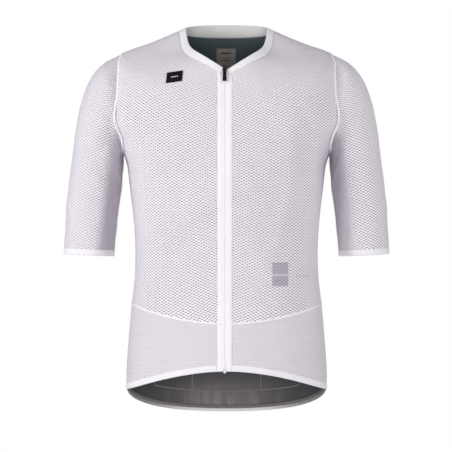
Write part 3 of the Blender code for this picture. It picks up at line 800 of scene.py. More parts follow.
def cloudOf(tree, size, strength):
    return calc(tree, "MULTIPLY", useGroup(tree, softCloud, placeOf(tree), Size=size)["Shade"], strength)


def bumpInto(tree, shader, height, distance, strength=1.0, under=None):
    bump = node(tree, "ShaderNodeBump")
    bump.inputs["Distance"].default_value = distance
    bump.inputs["Strength"].default_value = strength
    tree.links.new(height, bump.inputs["Height"])
    if under is not None:
        tree.links.new(under, bump.inputs["Normal"])
    tree.links.new(bump.outputs[0], shader.inputs["Normal"])
    return bump.outputs[0]


def clothMaterial(name, colour, shade, loop=0.0009, loopHeight=0.00012, cloud=0.35, paintedShade=None):
    # a plain knit: a slow change of tone, and small loops with painted shade in the hollows between them
    made, tree, shader = newMaterial(name, colour, 0.85)
    tone = mixColour(tree, cloudOf(tree, 9.0, cloud), colour, shade)
    loops = useGroup(tree, fineKnit, grainOf(tree), Loop=loop)["Height"]
    loopShade = ramp(tree, loops, 0.0, 0.9, 0.35, 0.0)
    tone = mixColour(tree, loopShade, tone, shade)
    # shade painted from a value stored on the mesh
    if paintedShade:
        tone = mixColour(tree, attributeOf(tree, "paintedShade"), tone, paintedShade)
    tree.links.new(tone, shader.inputs["Base Color"])
    bumpInto(tree, shader, loops, loopHeight)
    return made


openCloth = {
    "column": 0.00415,      # from one column of holes to the next
    "row": 0.0048,          # from one hole to the next up a column
    "halfWidth": 0.0026,    # of a hole
    "halfHeight": 0.00110,
    "depth": 0.00055,       # how far a hole is sunk
    "ridge": 0.00012,       # how far the yarn stands up between
    "yarn": (0.93, 0.895, 0.935),
    "shade": (0.87, 0.83, 0.88),
    # painted shade in each hole
    "holeShade": (0.29, 0.255, 0.30),
    "closed": (0.738, 0.697, 0.753),    # where it is nearly shut, the whole cloth's average
    "print": (0.46, 0.42, 0.50),
    "shutAt": 0.35,         # how squarely the cloth faces front or back where it is shut
    "openAt": 0.86,         # and where it is fully open
    "leastOpen": 0.34,
    "shoulderShut": 0.62,
    "farSleeve": 0.25,      # how much less open it is on the outer side of the right sleeve
    "paintedShade": (0.47, 0.43, 0.50),          # painted shade on the side of a sleeve that faces the body
    "paintedShadeRight": 0.7,        # how strong that painted shade is on the right sleeve
}


def openClothMaterial(name, printed=None):
    made, tree, shader = newMaterial(name, openCloth["yarn"], 0.8)
    grain, place = grainOf(tree), placeOf(tree)
    sockets = {"Column": "column", "Row": "row", "Half Width": "halfWidth", "Half Height": "halfHeight"}
    knit = useGroup(tree, openKnit, grain, **{socket: openCloth[key] for socket, key in sockets.items()})
    tone = mixColour(tree, cloudOf(tree, 7.0, 0.4), openCloth["yarn"], openCloth["shade"])
    if printed:
        mask = printMask(tree, place, printed)
        tone = mixColour(tree, mask, tone, openCloth["print"])
    openness = attributeOf(tree, "open")
    tone = mixColour(tree, openness, openCloth["closed"], tone)
    # painted shade in the holes, weaker where the knit is nearly shut
    holeShade = calc(tree, "MULTIPLY", knit["Hole"], openness)
    tone = mixColour(tree, holeShade, tone, openCloth["holeShade"])
    # painted shade on the side of a sleeve that faces the body, and at the left underarm
    tone = mixColour(tree, attributeOf(tree, "paintedShade"), tone, openCloth["paintedShade"])
    tree.links.new(tone, shader.inputs["Base Color"])
    loops = useGroup(tree, fineKnit, grain, Loop=0.0008)["Height"]
    first = bumpInto(tree, shader, loops, 0.00008)
    bumpInto(tree, shader, knit["Height"], 0.0004, 0.8, first)
    return made


def printMask(tree, place, blocks):
    # plain rectangles seen from the front: middle x and z, half sizes, strength
    split = splitOf(tree, place)
    total = None
    for x, z, halfWidth, halfHeight, strength in blocks:
        inside = []
        for socket, middle, half in (("X", x, halfWidth), ("Z", z, halfHeight)):
            off = calc(tree, "ABSOLUTE", calc(tree, "SUBTRACT", split[socket], middle))
            inside.append(ramp(tree, off, half - 0.0003, half + 0.0003, 1.0, 0.0))
        block = calc(tree, "MULTIPLY", calc(tree, "MULTIPLY", *inside), strength)
        total = block if total is None else calc(tree, "MAXIMUM", total, block)
    front = ramp(tree, split["Y"], -0.01, 0.0, 1.0, 0.0)
    return calc(tree, "MULTIPLY", total, front)


ribCloth = {
    "period": 0.00355,      # from rib to rib
    "height": 0.00030,
    "top": (0.768, 0.733, 0.773),
    # painted shade in the grooves between the ribs
    "grooveShade": (0.625, 0.593, 0.64),
}


def ribMaterial(name):
    made, tree, shader = newMaterial(name, ribCloth["top"], 0.85)
    grain = grainOf(tree)
    split = splitOf(tree, grain)
    turn = calc(tree, "MULTIPLY", split["Y"], 2 * math.pi / ribCloth["period"])
    wave = calc(tree, "MULTIPLY_ADD", calc(tree, "COSINE", turn), 0.5, 0.5)
    grooveShade = ramp(tree, wave, 0.05, 0.55, 1.0, 0.0)
    tone = mixColour(tree, cloudOf(tree, 8.0, 0.12), ribCloth["top"], ribCloth["grooveShade"])
    tone = mixColour(tree, calc(tree, "MULTIPLY", grooveShade, 0.75), tone, ribCloth["grooveShade"])
    tree.links.new(tone, shader.inputs["Base Color"])
    loops = useGroup(tree, fineKnit, grain, Loop=0.0009)["Height"]
    first = bumpInto(tree, shader, loops, 0.0001)
    bumpInto(tree, shader, wave, 0.00025, 0.8, first)
    return made


def wovenMaterial(name, colour, shade, thread):
    # a woven tape or label: crossing threads over the piece's own grain, with painted shade between the
    # threads
    made, tree, shader = newMaterial(name, colour, 0.75)
    split = splitOf(tree, grainOf(tree))
    waves = []
    for socket, stretch in (("X", 1.0), ("Y", 0.8)):
        turn = calc(tree, "MULTIPLY", split[socket], math.pi / (thread * stretch))
        waves.append(calc(tree, "ABSOLUTE", calc(tree, "SINE", turn)))
    weave = calc(tree, "MULTIPLY", *waves)
    tree.links.new(mixColour(tree, ramp(tree, weave, 0.1, 0.7, 0.5, 0.0), colour, shade),
                   shader.inputs["Base Color"])
    bumpInto(tree, shader, weave, 0.00012)
    return made


def hardMaterial(name, colour, roughness, metallic=0.0, specular=0.5):
    # moulded or painted, with slightly uneven gloss and colour
    made, tree, shader = newMaterial(name, colour, roughness, metallic)
    shader.inputs["Specular IOR Level"].default_value = specular
    place = placeOf(tree)
    cloudy = useGroup(tree, softCloud, place, Size=160.0)["Shade"]
    tree.links.new(calc(tree, "MULTIPLY_ADD", cloudy, 0.05, roughness), shader.inputs["Roughness"])
    paler = tuple(min(c * 1.6 + 0.001, 1) for c in colour)
    tone = mixColour(tree, calc(tree, "MULTIPLY", cloudy, 0.3), colour, paler)
    tree.links.new(tone, shader.inputs["Base Color"])
    grain = node(tree, "ShaderNodeTexNoise")
    grain.inputs["Scale"].default_value = 900.0
    tree.links.new(place, grain.inputs["Vector"])
    bumpInto(tree, shader, grain.outputs["Fac"], 0.00003)
    return made


# The back's inside is the same pale knit as its outside; all these tones are painted shade, darkest behind the
# neck and the pockets and lighter low on the tail
insideShadeTones = {
    "yoke": (0.086, 0.115, 0.127),      # painted shade behind the neck
    "pocket": (0.105, 0.100, 0.105),    # painted shade behind the pockets
    "tail": (0.330, 0.285, 0.295),      # lighter painted shade below them
    "dark": (0.070, 0.064, 0.068),      # painted shade towards the sides and in the gathers
    "yokeAt": -0.16,
    "pocketAt": -0.50,
    "tailAt": (-0.672, -0.606),         # heights between which the tail's tone fades
    "sideAt": (0.02, 0.14),             # how far out the sides darken
    "sideHeight": (-0.60, -0.50),       # and the heights between which that fades
    "streak": 0.012,                    # width of a gather's painted shade below the pockets
}


def insideShadeMaterial():
    # painted shade over the inside of the back, by height and by distance from the middle
    made, tree, shader = newMaterial("insideShadePainted", insideShadeTones["yoke"], 0.85)
    place = placeOf(tree)
    split = splitOf(tree, place)
    tone = mixColour(tree, ramp(tree, split["Z"], insideShadeTones["pocketAt"], insideShadeTones["yokeAt"]),
                     insideShadeTones["pocket"], insideShadeTones["yoke"])
    tail = ramp(tree, split["Z"], *insideShadeTones["tailAt"], 1.0, 0.0)
    tone = mixColour(tree, tail, tone, insideShadeTones["tail"])
    streaks = node(tree, "ShaderNodeTexNoise")
    streaks.inputs["Scale"].default_value = 1 / insideShadeTones["streak"]
    streaks.inputs["Detail"].default_value = 1.0
    squashed = node(tree, "ShaderNodeVectorMath", operation="MULTIPLY")
    squashed.inputs[1].default_value = (1.0, 0.0, 0.12)
    tree.links.new(place, squashed.inputs[0])
    tree.links.new(squashed.outputs[0], streaks.inputs["Vector"])
    # painted shade in the gathers below the pockets
    gatherShade = calc(tree, "MULTIPLY", ramp(tree, streaks.outputs["Fac"], 0.36, 0.66, 0.42, 0.0), tail)
    tone = mixColour(tree, gatherShade, tone, insideShadeTones["dark"])
    # painted shade towards the sides, low on the back
    far = ramp(tree, calc(tree, "ABSOLUTE", split["X"]), *insideShadeTones["sideAt"], 0.0, 0.85)
    side = calc(tree, "MULTIPLY", far, ramp(tree, split["Z"], *insideShadeTones["sideHeight"], 1.0, 0.0))
    tone = mixColour(tree, side, tone, insideShadeTones["dark"])
    tone = mixColour(tree, cloudOf(tree, 9.0, 0.35), tone, insideShadeTones["yoke"])
    tree.links.new(tone, shader.inputs["Base Color"])
    bumpInto(tree, shader, useGroup(tree, fineKnit, grainOf(tree), Loop=0.0011)["Height"], 0.00012)
    return made


printBlocks = [
    # x, z, half width, half height, strength
    (0.0910, -0.4125, 0.0137, 0.0098, 0.85),
    (0.0910, -0.4345, 0.0137, 0.0085, 0.85),
    (0.0910, -0.4240, 0.0137, 0.0020, 0.35),
    (0.1300, -0.4265, 0.0130, 0.0008, 0.75),
]
looks = {
    "inside": clothMaterial("whiteInside", (0.72, 0.69, 0.73), (0.62, 0.59, 0.64)),
    "openCloth": openClothMaterial("openCloth"),
    "openClothPrinted": openClothMaterial("openClothPrinted", printBlocks),
    "rib": ribMaterial("ribCloth"),
    "back": clothMaterial("backCloth", (0.86, 0.825, 0.865), (0.72, 0.685, 0.735), loop=0.0014,
                          loopHeight=0.0002, cloud=0.5),
    "insideShade": insideShadeMaterial(),
    "band": clothMaterial("bandCloth", (0.90, 0.875, 0.900), (0.85, 0.82, 0.855), loop=0.0013,
                          loopHeight=0.0001),
    # the tail's band, with shade painted on its inner side towards the jersey's sides
    "tailBand": clothMaterial("tailBandCloth", (0.90, 0.875, 0.900), (0.85, 0.82, 0.855), loop=0.0013,
                              loopHeight=0.0001, paintedShade=(0.36, 0.345, 0.36)),
    "seam": clothMaterial("seamCover", (0.97, 0.95, 0.97), (0.93, 0.90, 0.93), loop=0.0010, loopHeight=0.0001),
    "gripper": clothMaterial("gripper", (0.23, 0.21, 0.215), (0.18, 0.165, 0.17), loop=0.0022),
    "facing": wovenMaterial("facing", (0.72, 0.72, 0.705), (0.60, 0.60, 0.59), 0.0010),
    "label": wovenMaterial("labelWeave", (0.350, 0.317, 0.292), (0.27, 0.243, 0.225), 0.0006),
    "labelMark": wovenMaterial("labelMark", (0.085, 0.078, 0.072), (0.07, 0.064, 0.058), 0.0006),
    "tape": wovenMaterial("zipTape", (0.95, 0.925, 0.955), (0.91, 0.885, 0.92), 0.0008),
    "coil": hardMaterial("coil", (0.84, 0.82, 0.86), 0.45),
    "black": hardMaterial("blackMetal", (0.012, 0.012, 0.014), 0.32, 0.6),
    "film": hardMaterial("blackFilm", (0.006, 0.005, 0.006), 0.6, specular=0.15),
    "mark": hardMaterial("paleMark", (0.78, 0.76, 0.76), 0.6),
    "thread": hardMaterial("whiteThread", (0.96, 0.94, 0.96), 0.7),
    # the inside stitching and inside seams below are toned dark: painted shade, like the inside of the back
    # they lie on
    "shadedThread": hardMaterial("shadedThread", (0.26, 0.24, 0.25), 0.7),
    "insideSeam": clothMaterial("insideSeam", (0.24, 0.22, 0.23), (0.19, 0.175, 0.18), loop=0.0012),
}
print("materials made:", len(looks))


# Panels

panels = {
    "thickness": 0.0011,
    "openPitch": (openCloth["column"] / 2, openCloth["row"] / 4),
    "ribPitch": (0.0060, ribCloth["period"] / 4),
    "plainPitch": (0.0045, 0.0045),
}


def smoothShare(value, start, end):
    share = np.clip((value - start) / (end - start), 0, 1)
    return share * share * (3 - 2 * share)


def openShare(normals, places):
    # how open the knit looks: it is stretched nearly shut over the shoulders and at the sides, where the cloth
    # doesn't lie square to the front or back
    share = smoothShare(np.abs(normals[:, 1]), openCloth["shutAt"], openCloth["openAt"])
    share = openCloth["leastOpen"] + (1 - openCloth["leastOpen"]) * share
    share *= 1 - openCloth["farSleeve"] * smoothShare(-places[:, 0], 0.200, 0.240)
    return share * (1 - openCloth["shoulderShut"] * smoothShare(places[:, 2], -0.16, -0.04))


# Where shade is painted on the cloth: down the side of each sleeve that faces the body, and about the left
# underarm
paintedShadeSpread = {
    "inner": (-0.2, 0.3),           # how squarely the cloth faces the body
    "away": (0.165, 0.180),         # distance from the middle where it begins
    "leftEdge": 0.1992,             # where it ends on the left sleeve
    "rightEdge": 0.198,             # and on the right one, at the depth below
    "rightDepth": 0.208,            # depths are from the origin, level with the neck seam
    "rightSlope": 0.130,            # how far it moves out for each metre further down
    "edgeFade": 0.0080,
    "top": (0.165, 0.200),          # depths between which it begins
    "armBelow": 0.018,              # the painted shadow at the left underarm: how far below, its height and its reach
    "armHeight": 0.034,
    "armIn": (0.148, 0.176),
    "armOut": (0.190, 0.206),
    "armStrength": 0.7,
}


def paintedShadeShare(normals, places):
    # how much shade is painted on the cloth: down the side of a sleeve that faces the body, and a painted
    # shadow about the left underarm
    away, height, left = np.abs(places[:, 0]), places[:, 2], places[:, 0] > 0
    paintedShade = smoothShare(-normals[:, 0] * np.sign(places[:, 0]), *paintedShadeSpread["inner"])
    paintedShade = paintedShade * smoothShare(away, *paintedShadeSpread["away"])
    rightEdge = paintedShadeSpread["rightEdge"] - paintedShadeSpread["rightSlope"] * (height + paintedShadeSpread["rightDepth"])
    edge = np.where(left, paintedShadeSpread["leftEdge"], rightEdge)
    past = smoothShare(away - edge, -paintedShadeSpread["edgeFade"], paintedShadeSpread["edgeFade"])
    paintedShade *= (1 - past) * smoothShare(-height, *paintedShadeSpread["top"])
    paintedShade *= np.where(left, 1.0, openCloth["paintedShadeRight"])
    level = (height - underarm + paintedShadeSpread["armBelow"]) / paintedShadeSpread["armHeight"]
    nearArm = np.exp(-(level**2)) * smoothShare(away, *paintedShadeSpread["armIn"])
    nearArm *= 1 - smoothShare(away, *paintedShadeSpread["armOut"])
    return np.maximum(paintedShade, np.where(left, paintedShadeSpread["armStrength"], 0.0) * nearArm)


def openRelief(u, v, share):
    column = u / openCloth["column"]
    row = v / openCloth["row"] + 0.5 * np.mod(np.floor(column + 1e-6), 2)
    offU = np.abs(np.mod(column, 1) - 0.5) * openCloth["column"] / openCloth["halfWidth"]
    offV = np.abs(np.mod(row, 1) - 0.5) * openCloth["row"] / openCloth["halfHeight"]
    pit = np.clip(1 - offU**1.8 - offV**1.2, 0, 1)
    return (openCloth["ridge"] * np.minimum(offV, 1) - (openCloth["depth"] + openCloth["ridge"]) * pit) * share


def ribRelief(u, v, share):
    return ribCloth["height"] * (0.5 * np.cos(2 * math.pi * v / ribCloth["period"]) - 0.5)


def makePanel(name, surface, size, grain, cut, materials, slot, standsFor):
    laid = flatten(surface, size[0], size[1], grain)
    pitch, relief = cut
    bm = cutAndWrap(surface, laid, np.array(pitch), relief)
    piece = solidify(makePiece(name, bm, materials, slot, [standsFor]), panels["thickness"])


upperRows, lowerRows = len(upperHeights) - 1, len(lowerHeights) - 1
openLook, ribLook = [looks["openCloth"], looks["inside"]], [looks["rib"], looks["inside"]]
openCut, ribCut = (panels["openPitch"], openRelief), (panels["ribPitch"], ribRelief)
panelPlans = [
    # name, surface, columns and rows, grain line, pitch and relief, materials, slot, the node it stands for
    ("frontLeftCloth", leftFront, (26, upperRows), 0.0, openCut,
     [looks["openClothPrinted"], looks["inside"]], "mesh_knit", "front_left"),
    ("frontRightCloth", rightFront, (26, upperRows), 1.0, openCut, openLook, "mesh_knit", "front_right"),
    ("waistLeftCloth", leftWaist, (26, lowerRows), 0.0, ribCut, ribLook, "rib_knit", "waist_left"),
    ("waistRightCloth", rightWaist, (26, lowerRows), 1.0, ribCut, ribLook, "rib_knit", "waist_right"),
    ("backCloth", wholeBack, (56, len(backHeights) - 1), 0.5, (panels["plainPitch"], None),
     [looks["back"], looks["insideShade"]], "back_knit", "back"),
    ("sleeveLeftCloth", leftSleeve, (64, 52), 0.5, openCut, openLook, "mesh_knit", "sleeve_left"),
    ("sleeveRightCloth", rightSleeve, (64, 52), 0.5, openCut, openLook, "mesh_knit", "sleeve_right"),
]
for plan in panelPlans:
    makePanel(*plan)

# Bands

def bandOutline(proud, deep):
    return np.array([
        (0.00, -0.45 * deep), (0.015, -0.1 * deep), (0.06, 0.7 * proud), (0.20, proud), (0.50, 1.15 * proud),
        (0.80, proud), (0.94, 0.7 * proud), (0.985, -0.1 * deep), (1.00, -0.45 * deep), (0.985, -0.8 * deep),
        (0.94, -deep), (0.50, -deep), (0.06, -deep), (0.015, -0.8 * deep)])


def cutSize(surface):
    # length and width of a band's surface along its middle lines
    share, half = np.linspace(0, 1, 241), np.full(241, 0.5)
    sizes = [np.linalg.norm(np.diff(line, axis=0), axis=1).sum()
             for line in (surface(share, half), surface(half, share))]
    return tuple(round(float(size), 4) for size in sizes)


def cutArea(surface):
    rows = [surface(np.linspace(0, 1, 241), np.full(241, up)) for up in np.linspace(0, 1, 5)]
    return sum(np.linalg.norm(np.cross(low[1:] - high[:-1], high[1:] - low[:-1]), axis=1).sum() / 2
               for low, high in zip(rows, rows[1:]))


def declareBand(piece, surface):
    size = cutSize(surface)
    area = min(cutArea(surface), size[0] * size[1])
    print(f"{piece.name}: flat {size[0]:.3f} x {size[1]:.4f} m, {area:.4f} m2")


def makeBand(name, surface, slot, nodes, closed=False, proud=None, deep=None, look="band", steps=None):
    along = np.linspace(0, 1, (steps or bands["pieces"]) + 1)
    outline = bandOutline(bands["proud"] if proud is None else proud, bands["deep"] if deep is None else deep)
    return makePiece(name, bandMesh(surface, along, outline, closed), [looks[look]], slot, nodes)


hemLeft = makeBand("hemLeftBand", leftHem, "band", ["hem_left"])
hemRight = makeBand("hemRightBand", rightHem, "band", ["hem_right"])
hemBack = makeBand("hemBackBand", tailHem, "band", ["hem_back"], look="tailBand")
cuffLeft = makeBand("cuffLeftBand", leftCuff, "band", ["cuff_left"], closed=True)
cuffRight = makeBand("cuffRightBand", rightCuff, "band", ["cuff_right"], closed=True)
collar = makeBand("collarBand", collarSurface, "band", ["collar"], deep=0.0015, steps=220)


def paintShadeInside(piece, start, end):
    # painted shade: the inner side of a band round the body is toned darker towards the jersey's sides
    places = np.array([vert.co for vert in piece.data.vertices])
    normals = np.array([vert.normal for vert in piece.data.vertices])
    inwards = -(normals * unit(places * [1, 1, 0])).sum(axis=1)
    share = smoothShare(inwards, 0.0, 0.4) * smoothShare(np.abs(places[:, 0]), start, end)
    piece.data.attributes.new("paintedShade", "FLOAT", "POINT").data.foreach_set("value", share.astype(np.float32))


paintShadeInside(hemBack, 0.05, 0.15)


def backOfNeck(across, up):
    return collarSurface(0.255 + 0.500 * across, up)


facing = makeBand("neckFacing", backOfNeck, "facing", ["neck_facing"], proud=-0.0019, deep=0.0027,
                  look="facing")
for piece, surface, rests in (
        (hemLeft, leftHem, "waistLeftCloth"), (hemRight, rightHem, "waistRightCloth"),
        (cuffLeft, leftCuff, "sleeveLeftCloth"), (cuffRight, rightCuff, "sleeveRightCloth"),
        (collar, collarSurface, "backCloth"), (facing, backOfNeck, "collarBand")):
    declareBand(piece, surface)
print("panels and bands made")

# Sewn lines: a raised strip and the thread over it

sewing = {
    "seamWidth": 0.0042,
    "seamHeight": 0.0021,
    "zigzag": 0.0013,       # from one turn of the thread to the next
    "stitch": 0.0026,       # length of a straight stitch with its gap
    "thread": 0.00020,      # radius
    "bunch": 0.0080,        # how far the armhole seam stands forward at the front of the underarm
}
whiteThreads, insideShadeThreads = [], []


def lineOn(surface, across, up, spacing):
    # points and outward normals an even distance apart along a line on a surface
    dense = np.linspace(0, 1, 241)
    share = evenLine(surface(across(dense), up(dense)), spacing)
    return surface(across(share), up(share)), outwardAt(surface, across(share), up(share))


def constant(value):
    return lambda share: np.full(len(share), float(value))


def part(first, last):
    return lambda share: first + (last - first) * share


def sideOf(points, out, closed=False):
    ahead = np.gradient(points, axis=0)
    if closed:
        ahead = np.roll(points, -1, axis=0) - np.roll(points, 1, axis=0)
    return unit(np.cross(out, ahead))


def addZigzag(threads, points, out, width, height, closed=False):
    side = sideOf(points, out, closed)
    swing = np.where(np.arange(len(points)) % 2, 1, -1)[:, None] * width / 2
    threads.append((points + side * swing + out * height, closed))


def addStitches(points, out, lift):
    # straight stitches: up, along and down again
    heights = np.tile([lift + 0.00012, lift + 0.00012, lift - 0.0004], len(points) // 3 + 1)[:len(points)]
    whiteThreads.append((points + out * heights[:, None], False))


def sewnStrip(name, points, out, closed=False, width=None, height=None, slot="band", look="seam"):
    width, height = width or sewing["seamWidth"], height or sewing["seamHeight"]
    return makePiece(name, sweep(points, out, ellipse(width, height, 0.0001), closed), [looks[look]], slot)


def torsoNormal(height, turn):
    step = 0.03
    ahead = torsoPoints(height, turn - step) - torsoPoints(height, turn + step)
    above, below = np.minimum(height + 0.003, 0), np.maximum(height - 0.003, hemEdge)
    rise = torsoPoints(above, turn) - torsoPoints(below, turn)
    return unit(np.cross(ahead, rise))


def armholeLine():
    turn = np.linspace(0, 2 * math.pi, 481)
    turn = evenLine(armholePoints(turn), sewing["zigzag"], True) * 2 * math.pi
    points = armholePoints(turn)
    sleeveOut = outwardAt(leftSleeve, np.mod(turn / (2 * math.pi) - 0.5, 1), np.full_like(turn, 0.985), 0.015)
    section, edge = armholeEdge(turn)
    bodyOut = torsoNormal(section[:, 0], edge)
    out = unit(sleeveOut + bodyOut + 1e-4)
    for _ in range(12):
        out = unit(out + np.roll(out, 1, axis=0) + np.roll(out, -1, axis=0))
    # the cloth bunches at the front of the underarm and carries the seam forward
    bunched = smoothShare(-np.cos(turn), -0.35, 0.45) * smoothShare(-np.sin(turn), 0.05, 0.6)
    return points + bunched[:, None] * [0, -sewing["bunch"], 0], out


def bothSides(points, out):
    flip = np.array([-1, 1, 1])
    return [("Left", points, out), ("Right", (points * flip)[::-1], (out * flip)[::-1])]


for label, points, out in bothSides(*armholeLine()):
    sewnStrip(f"armholeSeam{label}", points, out, closed=True)
    addZigzag(whiteThreads, points, out, 0.0030, 0.0011, closed=True)

seamPlans = [
    # name, surface, across, up, width, height
    ("waistSeamLeft", roundSurface(waistSeam - 0.002, waistSeam + 0.002, zipTurn(0.0060), sideTurn(0.0)),
     part(0.0, 1.0), constant(0.5), 0.0038, 0.0021),
    ("waistSeamRight", roundSurface(waistSeam - 0.002, waistSeam + 0.002, sideTurn(math.pi), zipTurn(-0.0035)),
     part(0.0, 1.0), constant(0.5), 0.0038, 0.0021),
    ("sideSeamLeft", leftFront, constant(1), part(0.0, 39 / upperRows), 0.0026, 0.0012),
    ("sideSeamRight", rightFront, constant(0), part(0.0, 39 / upperRows), 0.0026, 0.0012),
    ("lowSideSeamLeft", leftWaist, constant(1), part(0.0, 1.0), 0.0026, 0.0012),
    ("lowSideSeamRight", rightWaist, constant(0), part(0.0, 1.0), 0.0026, 0.0012),
    ("shoulderSeamLeft", leftFront, constant(1), part(82 / upperRows, 1.0), 0.0022, 0.0009),
    ("shoulderSeamRight", rightFront, constant(0), part(82 / upperRows, 1.0), 0.0022, 0.0009),
    ("sleeveSeamLeft", leftSleeve, constant(0), part(0.0, 0.97), 0.0024, 0.0012),
    ("sleeveSeamRight", rightSleeve, constant(1), part(0.0, 0.97), 0.0024, 0.0012),
]
for name, surface, across, up, width, height in seamPlans:
    points, out = lineOn(surface, across, up, sewing["zigzag"])
    sewnStrip(name, points, out, width=width, height=height)
    addZigzag(whiteThreads, points, out, width * 0.72, height / 2 + 0.00012)

stitchPlans = [
    # surface, across, up, height over the surface
    (leftHem, part(0.01, 0.99), constant(0.86), 0.0005),
    (rightHem, part(0.01, 0.99), constant(0.86), 0.0005),
    (tailHem, part(0.005, 0.995), constant(0.86), 0.0005),
    (leftCuff, part(0, 1), constant(0.86), 0.0005),
    (rightCuff, part(0, 1), constant(0.86), 0.0005),
    (collarSurface, part(0.004, 0.996), constant(0.12), 0.0005),
    (zipSurface(form["tapeEdge"], 0), part(0.012, 0.985), constant(0.09), 0.0006),
    (zipSurface(0, -form["tapeEdge"]), part(0.012, 0.985), constant(0.91), 0.0006),
]
for surface, across, up, lift in stitchPlans:
    addStitches(*lineOn(surface, across, up, sewing["stitch"] / 3), lift)

# Zip

zipper = {
    "tapeInner": 0.00025,   # inner edge of each folded tape, from the zip's middle
    "footInner": 0.0026,    # the same at the foot, where the tapes part round the stop
    "footRise": 0.0150,     # how far up they part
    "proud": 0.0005,
    "foldProud": 0.0007,    # the tape's inner edge folds over the coil
    "deep": 0.0014,
    "toothPitch": 0.0013,
    "toothWidth": 0.0017,
    "toothHeight": 0.0007,
}


def tapeOutline(flip):
    proud, fold, deep = zipper["proud"], zipper["foldProud"], zipper["deep"]
    outline = np.array([
        (0.00, -0.4 * deep), (0.01, 0.0), (0.04, proud), (0.50, proud), (0.76, proud), (0.80, 0.4 * proud),
        (0.84, 0.8 * fold), (0.90, fold), (0.96, 0.95 * fold), (0.985, 0.7 * fold), (1.00, 0.0),
        (0.99, -0.7 * deep), (0.94, -deep), (0.50, -deep), (0.02, -deep)])
    if flip:
        outline[:, 0] = 1 - outline[:, 0]
    return outline


def tapeInner(across):
    parted = np.clip(1 - across * -hemEdge / zipper["footRise"], 0, 1)
    return zipper["tapeInner"] + (zipper["footInner"] - zipper["tapeInner"]) * parted**0.7


tapeSteps = np.linspace(0, 1, 231)
for label, first, last, flip in (("Left", form["tapeEdge"], tapeInner, False),
                                 ("Right", lambda across: -tapeInner(across), -form["tapeEdge"], True)):
    bm = bandMesh(zipSurface(first, last), tapeSteps, tapeOutline(flip))
    tape = makePiece(f"zipTape{label}", bm, [looks["tape"]], "tape", [f"zip_tape_{label.lower()}"])
    declareBand(tape, zipSurface(first, last))


def zipMiddle(share):
    # up the middle of the zip, then on a little way into the collar
    share = np.atleast_1d(share)
    middle = np.zeros_like(share)
    low = zipSurface(0, 0)(np.minimum(share, 1), middle)
    above = np.maximum(share - 1, 0)
    section = torsoSections[-1] + (collarTop - torsoSections[-1]) * above[:, None]
    high = surfacePoints(section, angleAt(section, form["zipX"]))
    return np.where(share[:, None] <= 1, low, high)


chainStart = zipper["footRise"] / -hemEdge
chainShare = evenLine(zipMiddle(np.linspace(chainStart, 1.3, 400)), zipper["toothPitch"])
chainPath = zipMiddle(chainStart + chainShare * (1.3 - chainStart))
chainOut = unit(np.cross(np.tile([1.0, 0, 0], (len(chainPath), 1)), np.gradient(chainPath, axis=0)))
chain = sweep(chainPath, chainOut, ellipse(0.0040, 0.0009, -0.0009))
steps = np.diff(chainPath, axis=0)
chainAhead = unit(np.vstack([steps[:1], steps]))
for index, (spot, out, ahead) in enumerate(zip(chainPath, chainOut, chainAhead)):
    side = np.cross(out, ahead)
    turn = Matrix([[*row, 0] for row in np.stack([side, ahead, out], axis=1)] + [[0, 0, 0, 1]])
    sign = 1 if index % 2 else -1
    at = Matrix.Translation(Vector(spot + side * sign * 0.0004 - out * 0.0003))
    size = Matrix.Diagonal((zipper["toothWidth"] / 2, zipper["toothPitch"] * 0.42,
                            zipper["toothHeight"] / 2, 1))
    bmesh.ops.create_uvsphere(chain, u_segments=6, v_segments=4, radius=1.0, matrix=at @ turn @ size)
makePiece("zipCoil", chain, [looks["coil"]], "coil", ["zip_chain"])

foot = zipMiddle(0.0)[0]
stop = bmesh.new()
stopBlocks = [
    # x, z, half width, half height: the box and the two pins above it
    (0.0, -0.0006, 0.0021, 0.0021),
    (-0.0010, 0.0080, 0.0009, 0.0075),
    (0.0010, 0.0085, 0.0009, 0.0080),
]
for x, z, halfX, halfZ in stopBlocks:
    made = bmesh.ops.create_cube(stop, size=2.0)
    bmesh.ops.scale(stop, verts=made["verts"], vec=(halfX, 0.0010, halfZ))
    bmesh.ops.translate(stop, verts=made["verts"], vec=Vector(foot) + Vector((x, 0.0002, z)))
roundEdges(stop, stop.edges[:], 0.0004)
makePiece("zipStop", stop, [looks["coil"]], "coil", ["zip_stop"], sharp=40)
print("zip made:", len(chainPath), "teeth")

# Slider and its pull

slider = {
    "tilt": 20.0,           # degrees that its face leans back
    "gap": 0.0012,          # from the neckline's fold to the face plate
    "plate": 0.0016,
    "backPlate": 0.0010,
    "half": 0.0034,
    "foot": -0.0043,        # below and above the pull's axis
    "head": 0.0068,
    "axis": 0.0011,         # from the face plate to the pull's axis
    "pullLength": 0.0185,
    "pullHalf": 0.0037,
    "pullTaper": 0.36,
    "pullBar": 0.0007,
    "slotHalf": 0.0016,
    "slotFoot": 0.0046,
}
faceFront = -slider["gap"] - slider["plate"]
lean = Matrix.Rotation(-math.radians(slider["tilt"]), 4, "X")
pullAxis = Vector(frame["joints"][0]["pos_m"])
pullPlace = Matrix.Translation(pullAxis) @ lean
sliderPlace = pullPlace @ Matrix.Translation((0, slider["axis"] - faceFront, 0))


def block(bm, low, high):
    made = bmesh.ops.create_cube(bm, size=1.0)
    low, high = Vector(low), Vector(high)
    bmesh.ops.scale(bm, verts=made["verts"], vec=high - low)
    bmesh.ops.translate(bm, verts=made["verts"], vec=(low + high) / 2)
    return made["verts"]


